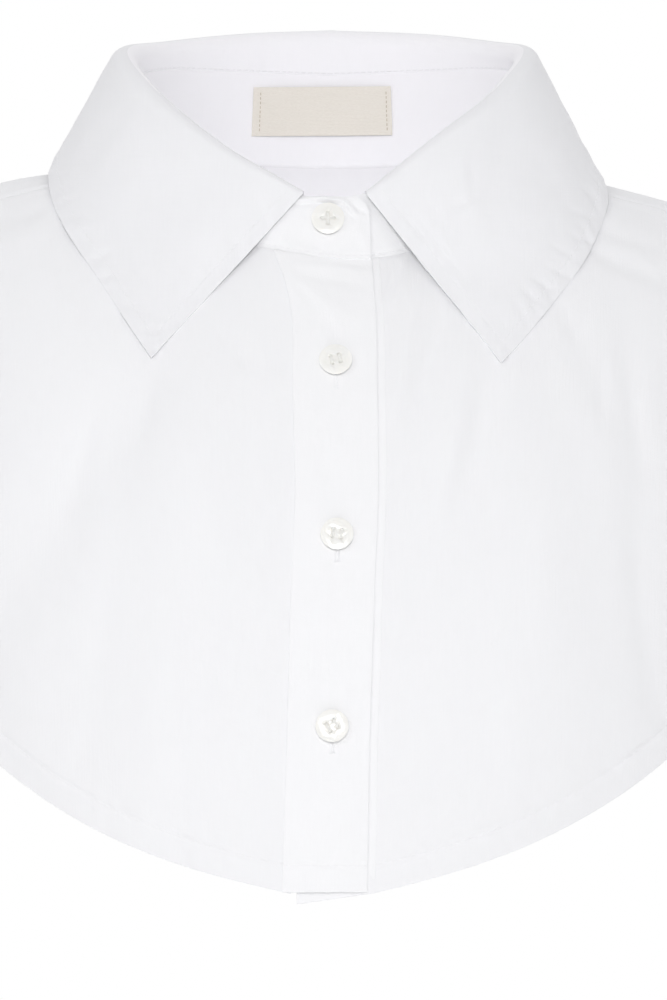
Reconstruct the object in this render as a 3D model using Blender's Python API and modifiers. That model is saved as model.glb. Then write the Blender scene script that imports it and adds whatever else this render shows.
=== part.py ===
"""A detachable shirt collar: a buttoned collar on a bib of two fronts and a back.

Sizes are in millimetres and become metres where a mesh is made. The wearer faces -Y,
+X is the wearer's left and +Z is up. The origin is the middle of the neck seam's ring.
Every cloth piece is a surface through sections, given its wall by Solidify. The surface
is the side of the cloth that faces out, and the wall goes in from it.
"""
import math
from collections import namedtuple

import bmesh
import bpy
import numpy as np
from mathutils import Matrix, Vector

MM = 0.001
COLLECTION_NAME = "detachable_shirt_collar"

# A value at a share of a leaf's way round, and a point of its free edge there
Place = namedtuple("Place", "at value")
EdgePoint = namedtuple("EdgePoint", "at x y z")

# Walls and gaps
PANEL_WALL = 1.2
PLACKET_WALL = 1.3
COLLAR_WALL = 1.5
LABEL_WALL = 0.8
SEAM_GAP = 0.3
NECK_SEAM_GAP = 0.5
SHOULDER_SEAM_GAP = 0.5
SEAM_CORNER_REACH = 22.0
FALL_SEAM_GAP = 0.8
PLACKET_EDGE_GAP = 0.5

# Neck seam, a tilted ring that is highest at the sides
NECK_HALF_WIDTH = 70.0
NECK_FRONT_DEPTH = 58.0
NECK_BACK_DEPTH = 57.0
NECK_TILT = 16.0
NECK_SADDLE = 14.0

# Top edge of the collar stand, a smaller ring above the neck seam
STAND_TOP_HALF_WIDTH = 66.5
STAND_TOP_DEPTH = 51.0
StandTop = namedtuple("StandTop", "angle z")
STAND_TOP = [
    StandTop(0, 4.6),
    StandTop(8, 5.0),
    StandTop(15, 8.0),
    StandTop(30, 17.0),
    StandTop(45, 27.0),
    StandTop(60, 35.5),
    StandTop(75, 42.0),
    StandTop(90, 46.0),
    StandTop(120, 49.0),
    StandTop(150, 48.2),
    StandTop(180, 47.0),
]

# Button ends of the stand: the wearer's right one laps over the left one
STAND_LAP_ANGLE = 12.2
STAND_LAP_LIFT = COLLAR_WALL + 0.5
STAND_LAP_EASE = 24.0
STAND_END_ROUNDING = 6.5
STAND_END_DROP = 0.36
STAND_END_STEPS = (0.0, 0.4, 1.0, 1.8, 2.8, 4.0, 5.4, 7.0, 9.0)

# Roll of the collar, where the fall turns over
ROLL_SIDE_Z = 56.6
ROLL_BACK_RISE = 5.4
ROLL_FRONT_Z = -0.4

# Body form under the bib
BODY_HALF_WIDTH = 172.0
BODY_ROUNDNESS = 0.6
FRONT_DEPTH = 119.0
BACK_DEPTH = 92.0

# Hem curves: height at the centre, slope and cube law to the sides, and the rise
# that turns the hem up into the side edge
HemLaw = namedtuple("HemLaw", "centre slope cube corner")
FRONT_HEM = {
    -1: HemLaw(-238.5, 0.20, 1.6e-5, 40.0),
    1: HemLaw(-239.0, 0.22, 1.5e-5, 41.0),
}
BACK_HEM = {
    -1: HemLaw(-200.0, 0.0, 1.9e-5, 26.0),
    1: HemLaw(-200.0, 0.0, 1.9e-5, 26.0),
}
HEM_CORNER_START = 105.0

# Side edge of the bib, from the shoulder's end down to the hem
SIDE_TOP_X = 160.0
SIDE_HEM_X = 165.0
SIDE_BULGE = 2.0
EDGE_SPREAD_START = 100.0
COLUMN_EASE = 0.625
BACK_ROW_CROWDING = 1.15

# Shoulder line, from the neck outwards, on each side of the body
Shoulder = namedtuple("Shoulder", "x seam_y seam_z rise")
SHOULDER = {
    -1: [
        Shoulder(70, -1, 14.0, 3),
        Shoulder(85, -10, 11.4, 21),
        Shoulder(97, -14, 8.3, 33),
        Shoulder(114, -14, 4.0, 38),
        Shoulder(137, -14, -4.0, 36),
        Shoulder(165, -14, -15.0, 30),
    ],
    1: [
        Shoulder(70, -1, 14.0, 3),
        Shoulder(85, -10, 9.8, 19),
        Shoulder(97, -13, 5.2, 27),
        Shoulder(114, -10, 0.9, 26),
        Shoulder(137, -10, -6.6, 26),
        Shoulder(165, -10, -17.6, 26),
    ],
}

# Front sections at a distance from the centre: how the cloth leaves its top edge,
# in degrees from straight down, and how far it holds its direction at each end
FrontSection = namedtuple("FrontSection", "x angle top_pull hem_pull")
FRONT_SECTIONS = [
    FrontSection(0, 33, 75, 80),
    FrontSection(30, 36, 75, 80),
    FrontSection(50, 46, 75, 80),
    FrontSection(62, 57, 75, 80),
    FrontSection(70, 65, 75, 80),
    FrontSection(97, 66, 62, 78),
    FrontSection(115, 62, 50, 68),
    FrontSection(165, 45, 20, 40),
]

# Back sections: how far the cloth reaches back and drops as it leaves its top edge
BackSection = namedtuple("BackSection", "x reach drop hem_pull")
BACK_CORNER_RISE = 3.0
BACK_CORNER_POWER = 6
BACK_SECTIONS = [
    BackSection(0, 26, 36, 80),
    BackSection(30, 30, 34, 80),
    BackSection(50, 38, 26, 80),
    BackSection(62, 48, 14, 80),
    BackSection(70, 56, 0, 80),
    BackSection(97, 52, 0, 76),
    BackSection(115, 46, 0, 70),
    BackSection(165, 30, 0, 45),
]

# Placket edges down the front, as the outer placket lies
PlacketEdge = namedtuple("PlacketEdge", "z left right")
PLACKET_EDGES = [
    PlacketEdge(-240, -16.4, 12.8),
    PlacketEdge(-226, -16.0, 13.0),
    PlacketEdge(-190, -14.9, 13.6),
    PlacketEdge(-135, -13.4, 15.3),
    PlacketEdge(-100, -12.0, 16.6),
    PlacketEdge(-66, -12.8, 16.3),
    PlacketEdge(-35, -13.6, 15.7),
    PlacketEdge(-26, -15.2, 15.3),
    PlacketEdge(-16, -18.0, 14.8),
]
PLACKET_LIFT = PANEL_WALL + SEAM_GAP
TOP_PLACKET_LIFT = PLACKET_LIFT + PLACKET_WALL - PANEL_WALL
PLACKET_EASE = 16.0
PLACKET_SPREAD = 60.0
LIFT_TURN_EASE = 0.1
UNDER_LEFT_X = -11.4
UNDER_SHOWS = 2.8

# Heights at which each placket ends, at its left and right edges
TOP_PLACKET_END = (-235.5, -235.5)
UNDER_PLACKET_END = (-239.6, -235.6)

# Leaf rows, from the front edge round to the middle of the back: angle on the stand,
# angle on the roll, radius and lean of the roll, and the free edge. No edge_y means
# that the edge lies over the front, moved out from it by lift.
LeafRow = namedtuple("LeafRow", "seam roll radius lean edge_x edge_y edge_z lift")
LEAF_ROWS = {
    -1: [
        LeafRow(8.4, 7.8, 1.9, 0.0, 61.5, None, -51.0, 6.6),
        LeafRow(20.0, 20.0, 2.9, 0.8, 69.5, None, -39.5, 7.8),
        LeafRow(36.0, 36.0, 4.0, 1.6, 80.0, None, -23.5, 8.0),
        LeafRow(54.0, 54.0, 4.8, 2.0, 90.5, None, -8.0, 8.0),
        LeafRow(73.0, 73.0, 5.0, 1.8, 97.2, -25.5, 7.2, 0),
        LeafRow(92.0, 92.0, 5.0, 1.4, 95.0, 2.0, 17.6, 0),
        LeafRow(112.0, 112.0, 5.0, 1.4, 86.0, 30.0, 13.0, 0),
        LeafRow(134.0, 134.0, 5.0, 1.4, 67.0, 53.0, 7.0, 0),
        LeafRow(157.0, 157.0, 5.0, 1.4, 37.0, 66.5, 4.6, 0),
        LeafRow(180.0, 180.0, 5.0, 1.4, 0.0, 71.0, 4.0, 0),
    ],
    1: [
        LeafRow(13.6, 10.4, 2.8, 0.0, 59.0, None, -52.5, 5.6),
        LeafRow(22.0, 21.0, 3.2, 0.4, 67.5, None, -43.5, 6.0),
        LeafRow(36.0, 36.0, 4.0, 0.6, 79.0, None, -29.5, 6.6),
        LeafRow(54.0, 54.0, 4.6, 0.0, 89.0, None, -15.5, 7.6),
        LeafRow(73.0, 73.0, 4.6, -1.0, 95.8, -28.5, 2.8, 0),
        LeafRow(92.0, 92.0, 4.6, -1.4, 92.4, 0.0, 14.4, 0),
        LeafRow(112.0, 112.0, 4.8, -0.6, 84.0, 30.0, 11.5, 0),
        LeafRow(134.0, 134.0, 5.0, 0.6, 66.5, 53.0, 6.5, 0),
        LeafRow(157.0, 157.0, 5.0, 1.4, 37.0, 66.5, 4.6, 0),
        LeafRow(180.0, 180.0, 5.0, 1.4, 0.0, 71.0, 4.0, 0),
    ],
}
LEAF_ARC_END = 28.0
LEAF_TOP_PULL = 0.3
LEAF_EDGE_PULL = 0.35
LEAF_FRONT_EASE = 0.2

# Largest drape folds: both ends in the front view, half-width and depth,
# below zero for a trough
Fold = namedtuple("Fold", "x0 z0 x1 z1 half_width depth")
FOLD_SHARPNESS = 1.6
FOLD_END_SHARE = 0.25
FOLD_END_PHASE = 0.08
FRONT_FOLD_START = 0.02
FRONT_FOLD_EASE = 0.167
BACK_FOLD_START = 0.2
BACK_FOLD_EASE = 0.2
FRONT_FOLDS = [
    Fold(-64, -58, -112, -138, 17, -3.4),
    Fold(-46, -62, -62, -205, 15, 1.5),
    Fold(-30, -52, -24, -118, 9, -1.0),
    Fold(86, -38, 116, -160, 16, -4.2),
    Fold(66, -60, 78, -190, 18, 2.2),
    Fold(44, -40, 26, -105, 11, -1.8),
]
BACK_FOLDS = [
    Fold(-78, -20, -104, -120, 17, -2.6),
    Fold(-30, -40, -36, -165, 16, 1.6),
    Fold(24, -30, 30, -150, 14, -1.4),
    Fold(74, -24, 98, -130, 16, -2.8),
]

# Buttons: centre in the front view
ButtonPlace = namedtuple("ButtonPlace", "x z")
BAND_BUTTON = ButtonPlace(-0.7, -3.4)
PLACKET_BUTTONS = [
    ButtonPlace(1.9, -52.8),
    ButtonPlace(2.4, -112.3),
    ButtonPlace(0.7, -178.0),
]
BUTTON_RADIUS = 5.7
BUTTON_THICKNESS = 2.3
BUTTON_HOLE_RADIUS = 0.75
BUTTON_HOLE_PITCH = 2.9
BUTTON_SEAT = 0.5

# Button's turned section: share of the radius, and depth below the rim's top
ButtonRing = namedtuple("ButtonRing", "radius_share depth")
BUTTON_RINGS = [
    ButtonRing(0.0, 0.7),
    ButtonRing(0.56, 0.7),
    ButtonRing(0.74, 0.1),
    ButtonRing(0.86, 0.0),
    ButtonRing(0.97, 0.5),
    ButtonRing(1.0, 1.1),
    ButtonRing(0.9, 1.95),
    ButtonRing(0.76, BUTTON_THICKNESS),
    ButtonRing(0.0, BUTTON_THICKNESS),
]

# Label on the inside of the stand
LABEL_LEFT = -26.9
LABEL_RIGHT = 21.4
LABEL_TOP = 42.6
LABEL_BOTTOM = 25.6

# Fineness of the surfaces
FRONT_NECK_COLUMNS = 8
BACK_NECK_COLUMNS = 8
SHOULDER_COLUMNS = 10
FRONT_ROWS = 22
BACK_ROWS = 16
STAND_COLUMNS = 48
STAND_ROWS = 4
FALL_COLUMNS = 26
FALL_RISE_ROWS = 2
FALL_ARC_ROWS = 5
FALL_LEAF_ROWS = 7
PLACKET_COLUMNS = 3
PLACKET_ROWS = 22
LABEL_COLUMNS = 10
LABEL_ROWS = 3
BUTTON_SEGMENTS = 24
BUTTON_HOLE_SIDES = 6
HALVINGS = 40


# Curves and tables
def table_value(rows, along, column, at):
    """A column's value at a place, on a smooth curve through the table's rows."""
    places = [getattr(row, along) for row in rows]
    values = [getattr(row, column) for row in rows]
    slopes = np.gradient(values, places)
    at = min(max(at, places[0]), places[-1])
    i = min(int(np.searchsorted(places, at, "right")) - 1, len(places) - 2)
    span = places[i + 1] - places[i]
    t = (at - places[i]) / span
    start = values[i] * (2 * t**3 - 3 * t**2 + 1) + span * slopes[i] * (t**3 - 2 * t**2 + t)
    end = values[i + 1] * (3 * t**2 - 2 * t**3) + span * slopes[i + 1] * (t**3 - t**2)
    return start + end


def smooth_step(t):
    t = min(max(t, 0.0), 1.0)
    return t * t * (3 - 2 * t)


def bezier(a, b, c, d, t):
    s = 1 - t
    return a * s**3 + b * 3 * s * s * t + c * 3 * s * t * t + d * t**3


def hem_z(laws, x):
    law = laws[1 if x > 0 else -1]
    x = abs(x)
    corner = max(0.0, x - HEM_CORNER_START) / (SIDE_HEM_X - HEM_CORNER_START)
    return law.centre + law.slope * x + law.cube * x**3 + law.corner * corner**4


def body_depth(depth, x):
    return depth * (1 - (x / BODY_HALF_WIDTH) ** 2) ** BODY_ROUNDNESS


# Neck and shoulders
def outward(angle):
    """The level direction away from the neck at an angle round it."""
    a = math.radians(angle)
    return Vector((math.sin(a), -math.cos(a), 0))


def neck_point(angle):
    """The neck seam: 0 degrees is the front, 180 the back, and the sign is the side."""
    a = math.radians(angle)
    depth = NECK_FRONT_DEPTH if math.cos(a) > 0 else NECK_BACK_DEPTH
    z = -NECK_TILT * math.cos(a) + NECK_SADDLE * math.sin(a) ** 2
    return Vector((NECK_HALF_WIDTH * math.sin(a), -depth * math.cos(a), z))


def shoulder_value(x, column):
    return table_value(SHOULDER[1 if x > 0 else -1], "x", column, abs(x))


def panel_top(x, back):
    """Where a panel's cloth starts at this x: the neck seam or the shoulder seam."""
    if abs(x) < NECK_HALF_WIDTH:
        angle = math.degrees(math.asin(x / NECK_HALF_WIDTH))
        if back:
            angle = 180 - angle
        return neck_point(angle)
    neck_share = max(0.0, 1 - (abs(x) - NECK_HALF_WIDTH) / SEAM_CORNER_REACH)
    half_gap = SHOULDER_SEAM_GAP / 2 * (1 + neck_share)
    y = shoulder_value(x, "seam_y") + (half_gap if back else -half_gap)
    return Vector((x, y, shoulder_value(x, "seam_z")))


# Panels
def front_surface(x, t):
    """A point of the front at x; t runs from 0 at the top edge to 1 at the hem."""
    top = panel_top(x, False)
    hem = Vector((x, -body_depth(FRONT_DEPTH, x), hem_z(FRONT_HEM, x)))
    angle = math.radians(table_value(FRONT_SECTIONS, "x", "angle", abs(x)))
    top_pull = table_value(FRONT_SECTIONS, "x", "top_pull", abs(x))
    hem_pull = table_value(FRONT_SECTIONS, "x", "hem_pull", abs(x))
    leave = Vector((0, -math.sin(angle), -math.cos(angle))) * top_pull
    arrive = Vector((0, 0, hem_pull))
    return bezier(top, top + leave, hem + arrive, hem, t)


def back_surface(x, t):
    """A point of the back at x; t runs from 0 at the top edge to 1 at the hem."""
    top = panel_top(x, True)
    hem = Vector((x, body_depth(BACK_DEPTH, x), hem_z(BACK_HEM, x)))
    reach = table_value(BACK_SECTIONS, "x", "reach", abs(x))
    drop = table_value(BACK_SECTIONS, "x", "drop", abs(x))
    hem_pull = table_value(BACK_SECTIONS, "x", "hem_pull", abs(x))
    if abs(x) > NECK_HALF_WIDTH:
        rise = shoulder_value(x, "rise")
    else:
        rise = BACK_CORNER_RISE * (abs(x) / NECK_HALF_WIDTH) ** BACK_CORNER_POWER
    leave = Vector((0, reach, rise - drop))
    arrive = Vector((0, 0, hem_pull))
    return bezier(top, top + leave, hem + arrive, hem, t)


def fold_depth(folds, x, z):
    """How far the folds move the cloth out at a place in the front view."""
    total = 0.0
    for fold in folds:
        start = Vector((fold.x0, fold.z0))
        run = Vector((fold.x1, fold.z1)) - start
        place = Vector((x, z)) - start
        along = min(max(place.dot(run) / run.length_squared, 0.0), 1.0)
        aside = (place - run * along).length / fold.half_width
        phase = FOLD_END_PHASE + (1 - 2 * FOLD_END_PHASE) * along
        fade = FOLD_END_SHARE + (1 - FOLD_END_SHARE) * math.sin(math.pi * phase)
        total += fold.depth * fade * math.exp(-FOLD_SHARPNESS * aside**2)
    return total


def normal_of(surface, x, t):
    """Which way the cloth faces, from two small steps on its surface."""
    step_x = 0.5
    step_t = 0.01
    t = min(max(t, step_t), 1 - step_t)
    across = surface(x + step_x, t) - surface(x - step_x, t)
    down = surface(x, t + step_t) - surface(x, t - step_t)
    normal = across.cross(down).normalized()
    return -normal if surface is front_surface else normal


def front_point(x, t, lift=0.0):
    """A point of the draped front, moved out by lift: level with the neck seam at the
    top, and square to the cloth further down."""
    base = front_surface(x, t)
    normal = normal_of(front_surface, x, t)
    share = smooth_step((t - FRONT_FOLD_START) / FRONT_FOLD_EASE)
    draped = base + normal * fold_depth(FRONT_FOLDS, base.x, base.z) * share
    if lift == 0.0:
        return draped
    level = outward(math.degrees(math.asin(x / NECK_HALF_WIDTH)))
    away = (level / level.dot(normal)).lerp(normal, smooth_step(t / LIFT_TURN_EASE))
    return draped + away * lift


def back_point(x, t):
    """A point of the draped back."""
    base = back_surface(x, t)
    share = smooth_step((t - BACK_FOLD_START) / BACK_FOLD_EASE)
    drape = fold_depth(BACK_FOLDS, base.x, base.z) * share
    return base + normal_of(back_surface, x, t) * drape


def front_t_at(x, z):
    """The t at which the front reaches a height."""
    low = 0.0
    high = 1.1
    for _ in range(HALVINGS):
        middle = (low + high) / 2
        if front_surface(x, middle).z > z:
            low = middle
        else:
            high = middle
    return (low + high) / 2


def side_x(t):
    """Distance of the bib's side edge from the centre."""
    return SIDE_TOP_X + (SIDE_HEM_X - SIDE_TOP_X) * t + SIDE_BULGE * math.sin(math.pi * t)


def placket_edge(t, side):
    """The outer placket's left or right edge at a row of the front."""
    z = front_surface(0, t).z
    return table_value(PLACKET_EDGES, "z", side, z)


def panel_columns(inner_x, neck_columns, shoulder_columns):
    """Top distances and hem shares of a panel's columns, one on the neck's side point
    and closer together towards the side edge."""
    start = math.asin(inner_x / NECK_HALF_WIDTH)
    columns = []
    count = neck_columns + shoulder_columns
    for i in range(neck_columns):
        angle = start + (math.pi / 2 - start) * i / neck_columns
        columns.append((NECK_HALF_WIDTH * math.sin(angle), i / count))
    for i in range(shoulder_columns + 1):
        even = i / shoulder_columns
        share = (even + math.sin(even * math.pi / 2)) / 2
        reach = NECK_HALF_WIDTH + (SIDE_TOP_X - NECK_HALF_WIDTH) * share
        columns.append((reach, (neck_columns + shoulder_columns * share) / count))
    return columns


def column_x(column, inner_x, t):
    """A column's distance from the centre at t, from its top place to its even hem place."""
    top_x, share = column
    outer_x = side_x(t)
    even_x = inner_x + (outer_x - inner_x) * share
    spread = max(0.0, top_x - EDGE_SPREAD_START) / (SIDE_TOP_X - EDGE_SPREAD_START)
    top_x += (outer_x - SIDE_TOP_X) * spread
    return top_x + (even_x - top_x) * smooth_step(t / COLUMN_EASE)


def front_panel_grid(side, edge, edge_gap, lift_at_edge):
    """Rows of points of one front, from its placket edge to its side edge."""
    inner_x = abs(placket_edge(0, edge)) + edge_gap
    columns = panel_columns(inner_x, FRONT_NECK_COLUMNS, SHOULDER_COLUMNS)
    grid = []
    for j in range(FRONT_ROWS + 1):
        t = j / FRONT_ROWS
        inner_now = abs(placket_edge(t, edge)) + edge_gap
        row = []
        for column in columns:
            x = column_x(column, inner_x, t)
            x += (inner_now - inner_x) * (1 - smooth_step((x - inner_x) / PLACKET_SPREAD))
            lift = lift_at_edge * (1 - smooth_step((x - inner_now) / PLACKET_EASE))
            row.append(front_point(side * x, t, lift))
        grid.append(row)
    return grid


def back_panel_grid():
    """Rows of points of the back, from the wearer's right side edge to the left one."""
    half = panel_columns(0.0, BACK_NECK_COLUMNS, SHOULDER_COLUMNS)
    grid = []
    for j in range(BACK_ROWS + 1):
        t = (j / BACK_ROWS) ** BACK_ROW_CROWDING
        right = [back_point(-column_x(column, 0.0, t), t) for column in reversed(half)]
        left = [back_point(column_x(column, 0.0, t), t) for column in half[1:]]
        grid.append(right + left)
    return grid


def strip_grid(left_of, right_of, lift, end_heights):
    """Rows of points of a placket between two edges, down the front to its own end."""
    grid = []
    ends = []
    for i in range(PLACKET_COLUMNS + 1):
        share = i / PLACKET_COLUMNS
        x = left_of(1) * (1 - share) + right_of(1) * share
        end_z = end_heights[0] * (1 - share) + end_heights[1] * share
        ends.append(front_t_at(x, end_z))
    for j in range(PLACKET_ROWS + 1):
        row = []
        for i, end in enumerate(ends):
            share = i / PLACKET_COLUMNS
            t = end * j / PLACKET_ROWS
            x = left_of(t) * (1 - share) + right_of(t) * share
            row.append(front_point(x, t, lift))
        grid.append(row)
    return grid


# Collar
def lap_lift(angle):
    """How far the stand is moved out where the wearer's right end laps over the left."""
    past = -angle - STAND_LAP_ANGLE
    return STAND_LAP_LIFT * (1 - smooth_step(past / STAND_LAP_EASE))


def stand_point(angle, height, lift):
    """A point of the stand's outer face; height runs from 0 at the neck seam to 1."""
    wrapped = (angle + 180) % 360 - 180
    bottom = neck_point(wrapped)
    bottom.z += NECK_SEAM_GAP
    a = math.radians(wrapped)
    top_z = table_value(STAND_TOP, "angle", "z", abs(wrapped))
    top = Vector((STAND_TOP_HALF_WIDTH * math.sin(a), -STAND_TOP_DEPTH * math.cos(a), top_z))
    return bottom.lerp(top, height) + outward(wrapped) * lift


def stand_end_height(inside):
    """The share of its height that the stand has at an angle in from a button end."""
    past = 1 - min(inside, STAND_END_ROUNDING) / STAND_END_ROUNDING
    return 1 - STAND_END_DROP * (1 - math.sqrt(1 - past * past))


def stand_grid():
    """Rows of the stand, from its upper button end round the back to the lower one."""
    sweep = 360 + 2 * STAND_LAP_ANGLE
    first = STAND_END_STEPS[-1]
    turns = list(STAND_END_STEPS)
    for i in range(1, STAND_COLUMNS):
        turns.append(first + (sweep - 2 * first) * i / STAND_COLUMNS)
    turns += [sweep - step for step in reversed(STAND_END_STEPS)]
    grid = []
    for j in range(STAND_ROWS + 1):
        row = []
        for turned in turns:
            angle = STAND_LAP_ANGLE - turned
            height = stand_end_height(min(turned, sweep - turned))
            row.append(stand_point(angle, height * j / STAND_ROWS, lap_lift(angle)))
        grid.append(row)
    return grid


def roll_z(angle):
    """Height of the roll's top."""
    a = math.radians(abs(angle))
    if abs(angle) <= 90:
        return ROLL_FRONT_Z + (ROLL_SIDE_Z - ROLL_FRONT_Z) * math.sin(a)
    return ROLL_SIDE_Z + ROLL_BACK_RISE * math.cos(a) ** 2


def leaf_value(side, share, column):
    """A leaf column's value, share running from 0 at the front edge to 1 at the back."""
    rows = LEAF_ROWS[side]
    places = [Place(i / (len(rows) - 1), getattr(row, column)) for i, row in enumerate(rows)]
    return table_value(places, "at", "value", share)


def leaf_edge_rows(side):
    """The free edge's points, with those that lie on the front placed clear of it."""
    edges = []
    rows = LEAF_ROWS[side]
    for i, row in enumerate(rows):
        x = side * row.edge_x
        y = row.edge_y
        if y is None:
            t = front_t_at(x, row.edge_z)
            y = front_point(x, t).y - row.lift
        edges.append(EdgePoint(i / (len(rows) - 1), x, y, row.edge_z))
    return edges


def fall_section(side, share, edges):
    """One section of the fall: up from the stand, over the roll and down to the edge."""
    seam = side * leaf_value(side, share, "seam")
    roll = side * leaf_value(side, share, "roll")
    radius = leaf_value(side, share, "radius")
    edge = Vector([table_value(edges, "at", axis, share) for axis in "xyz"])
    lift = lap_lift(seam) if side < 0 else 0.0
    foot = stand_point(seam, 1, lift - COLLAR_WALL) + Vector((0, 0, FALL_SEAM_GAP))
    out = outward(roll)
    lean = leaf_value(side, share, "lean")
    a = math.radians(roll)
    ring = Vector((STAND_TOP_HALF_WIDTH * math.sin(a), -STAND_TOP_DEPTH * math.cos(a), 0))
    inner = ring + out * (lift - COLLAR_WALL + lean)
    top = max(roll_z(roll), foot.z + radius)
    centre = inner + out * radius + Vector((0, 0, top - radius))
    points = []
    arc_start = centre - out * radius
    for i in range(FALL_RISE_ROWS):
        points.append(foot.lerp(arc_start, i / FALL_RISE_ROWS))
    for i in range(FALL_ARC_ROWS + 1):
        turn = math.radians(180 - (180 - LEAF_ARC_END) * i / FALL_ARC_ROWS)
        points.append(centre + (out * math.cos(turn) + Vector((0, 0, math.sin(turn)))) * radius)
    last = points[-1]
    end = math.radians(LEAF_ARC_END)
    leave = out * math.sin(end) - Vector((0, 0, math.cos(end)))
    direct = (edge - last).normalized()
    leave = direct.lerp(leave, smooth_step(share / LEAF_FRONT_EASE))
    reach = (edge - last).length
    near = last + leave * reach * LEAF_TOP_PULL
    far = edge + (last - edge) * LEAF_EDGE_PULL
    for i in range(1, FALL_LEAF_ROWS + 1):
        points.append(bezier(last, near, far, edge, i / FALL_LEAF_ROWS))
    return points


def fall_grid():
    """Sections of the fall from the wearer's right front edge round to the left one."""
    grid = []
    right_edges = leaf_edge_rows(-1)
    left_edges = leaf_edge_rows(1)
    for i in range(FALL_COLUMNS + 1):
        grid.append(fall_section(-1, i / FALL_COLUMNS, right_edges))
    for i in range(FALL_COLUMNS - 1, -1, -1):
        grid.append(fall_section(1, i / FALL_COLUMNS, left_edges))
    return grid


def label_grid():
    """The label's outer side, which lies along the inside of the stand at the back."""
    inset = -(COLLAR_WALL + SEAM_GAP + LABEL_WALL)
    grid = []
    for j in range(LABEL_ROWS + 1):
        z = LABEL_TOP + (LABEL_BOTTOM - LABEL_TOP) * j / LABEL_ROWS
        row = []
        for i in range(LABEL_COLUMNS + 1):
            x = LABEL_LEFT + (LABEL_RIGHT - LABEL_LEFT) * i / LABEL_COLUMNS
            angle = 180 - math.degrees(math.asin(x / STAND_TOP_HALF_WIDTH))
            low = stand_point(angle, 0, 0)
            high = stand_point(angle, 1, 0)
            height = (z - low.z) / (high.z - low.z)
            row.append(stand_point(angle, height, inset))
        grid.append(row)
    return grid


# Meshes and materials
def make_material(name, colour, roughness):
    material = bpy.data.materials.new(name)
    material.use_nodes = True
    shader = material.node_tree.nodes["Principled BSDF"]
    shader.inputs["Base Color"].default_value = (*colour, 1.0)
    shader.inputs["Roughness"].default_value = roughness
    shader.inputs["Metallic"].default_value = 0.0
    return material


def link_part(name, mesh, material, collection):
    mesh.materials.append(material)
    part = bpy.data.objects.new(name, mesh)
    collection.objects.link(part)
    return part


def cloth_part(name, grid, wall, material, collection, flip=False):
    """A cloth piece: a loft through rows of points, with its wall going in."""
    shape = bmesh.new()
    rows = [[shape.verts.new(point * MM) for point in row] for row in grid]
    for upper, lower in zip(rows, rows[1:]):
        for i in range(len(upper) - 1):
            corners = [upper[i], lower[i], lower[i + 1], upper[i + 1]]
            if flip:
                corners.reverse()
            shape.faces.new(corners)
    mesh = bpy.data.meshes.new(name)
    shape.to_mesh(mesh)
    shape.free()
    mesh.shade_smooth()
    part = link_part(name, mesh, material, collection)
    solidify = part.modifiers.new("wall", "SOLIDIFY")
    solidify.thickness = wall * MM
    solidify.offset = -1.0
    solidify.use_quality_normals = True
    return part


def button_mesh():
    """A turned disc with a dished face, before its holes."""
    shape = bmesh.new()
    points = []
    for ring in BUTTON_RINGS:
        radius = ring.radius_share * BUTTON_RADIUS
        height = BUTTON_THICKNESS - ring.depth
        points.append(shape.verts.new((radius * MM, 0, height * MM)))
    for a, b in zip(points, points[1:]):
        shape.edges.new((a, b))
    bmesh.ops.spin(
        shape, geom=shape.verts[:] + shape.edges[:], cent=(0, 0, 0), axis=(0, 0, 1),
        angle=math.tau, steps=BUTTON_SEGMENTS, use_merge=True)
    bmesh.ops.remove_doubles(shape, verts=shape.verts, dist=0.00001)
    bmesh.ops.recalc_face_normals(shape, faces=shape.faces)
    mesh = bpy.data.meshes.new("button")
    shape.to_mesh(mesh)
    shape.free()
    return mesh


def hole_cutter(collection):
    """Four pins that cut a button's holes."""
    shape = bmesh.new()
    half = BUTTON_HOLE_PITCH / 2 * MM
    for x in (-half, half):
        for y in (-half, half):
            bmesh.ops.create_cone(
                shape, cap_ends=True, segments=BUTTON_HOLE_SIDES,
                radius1=BUTTON_HOLE_RADIUS * MM, radius2=BUTTON_HOLE_RADIUS * MM,
                depth=4 * BUTTON_THICKNESS * MM, matrix=Matrix.Translation((x, y, 0)))
    mesh = bpy.data.meshes.new("button_holes")
    shape.to_mesh(mesh)
    shape.free()
    cutter = bpy.data.objects.new("button_holes", mesh)
    cutter.hide_render = True
    cutter.display_type = "WIRE"
    collection.objects.link(cutter)
    return cutter


def place_button(number, centre, normal, material, collection, cutters):
    """A button on its seat, its face looking along the normal."""
    part = link_part(f"button_{number}", button_mesh(), material, collection)
    turn = normal.to_track_quat("Z", "Y").to_matrix().to_4x4()
    part.matrix_world = Matrix.Translation((centre + normal * BUTTON_SEAT) * MM) @ turn
    cutter = hole_cutter(cutters)
    cutter.name = f"button_{number}_holes"
    cutter.matrix_world = part.matrix_world
    cut = part.modifiers.new("holes", "BOOLEAN")
    cut.operation = "DIFFERENCE"
    cut.object = cutter
    return part


# Assembly
def clear_scene():
    for item in list(bpy.data.objects):
        bpy.data.objects.remove(item, do_unlink=True)


def make_collection(name):
    collection = bpy.data.collections.new(name)
    bpy.context.scene.collection.children.link(collection)
    return collection


def build_plackets(cloth, collection):
    def top_left(t):
        return placket_edge(t, "left")

    def top_right(t):
        return placket_edge(t, "right")

    def under_right(t):
        return placket_edge(t, "right") + UNDER_SHOWS

    def under_left(t):
        return UNDER_LEFT_X

    top = strip_grid(top_left, top_right, TOP_PLACKET_LIFT, TOP_PLACKET_END)
    cloth_part("placket_top", top, PLACKET_WALL, cloth, collection)
    under = strip_grid(under_left, under_right, 0.0, UNDER_PLACKET_END)
    cloth_part("placket_under", under, PANEL_WALL, cloth, collection)


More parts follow.
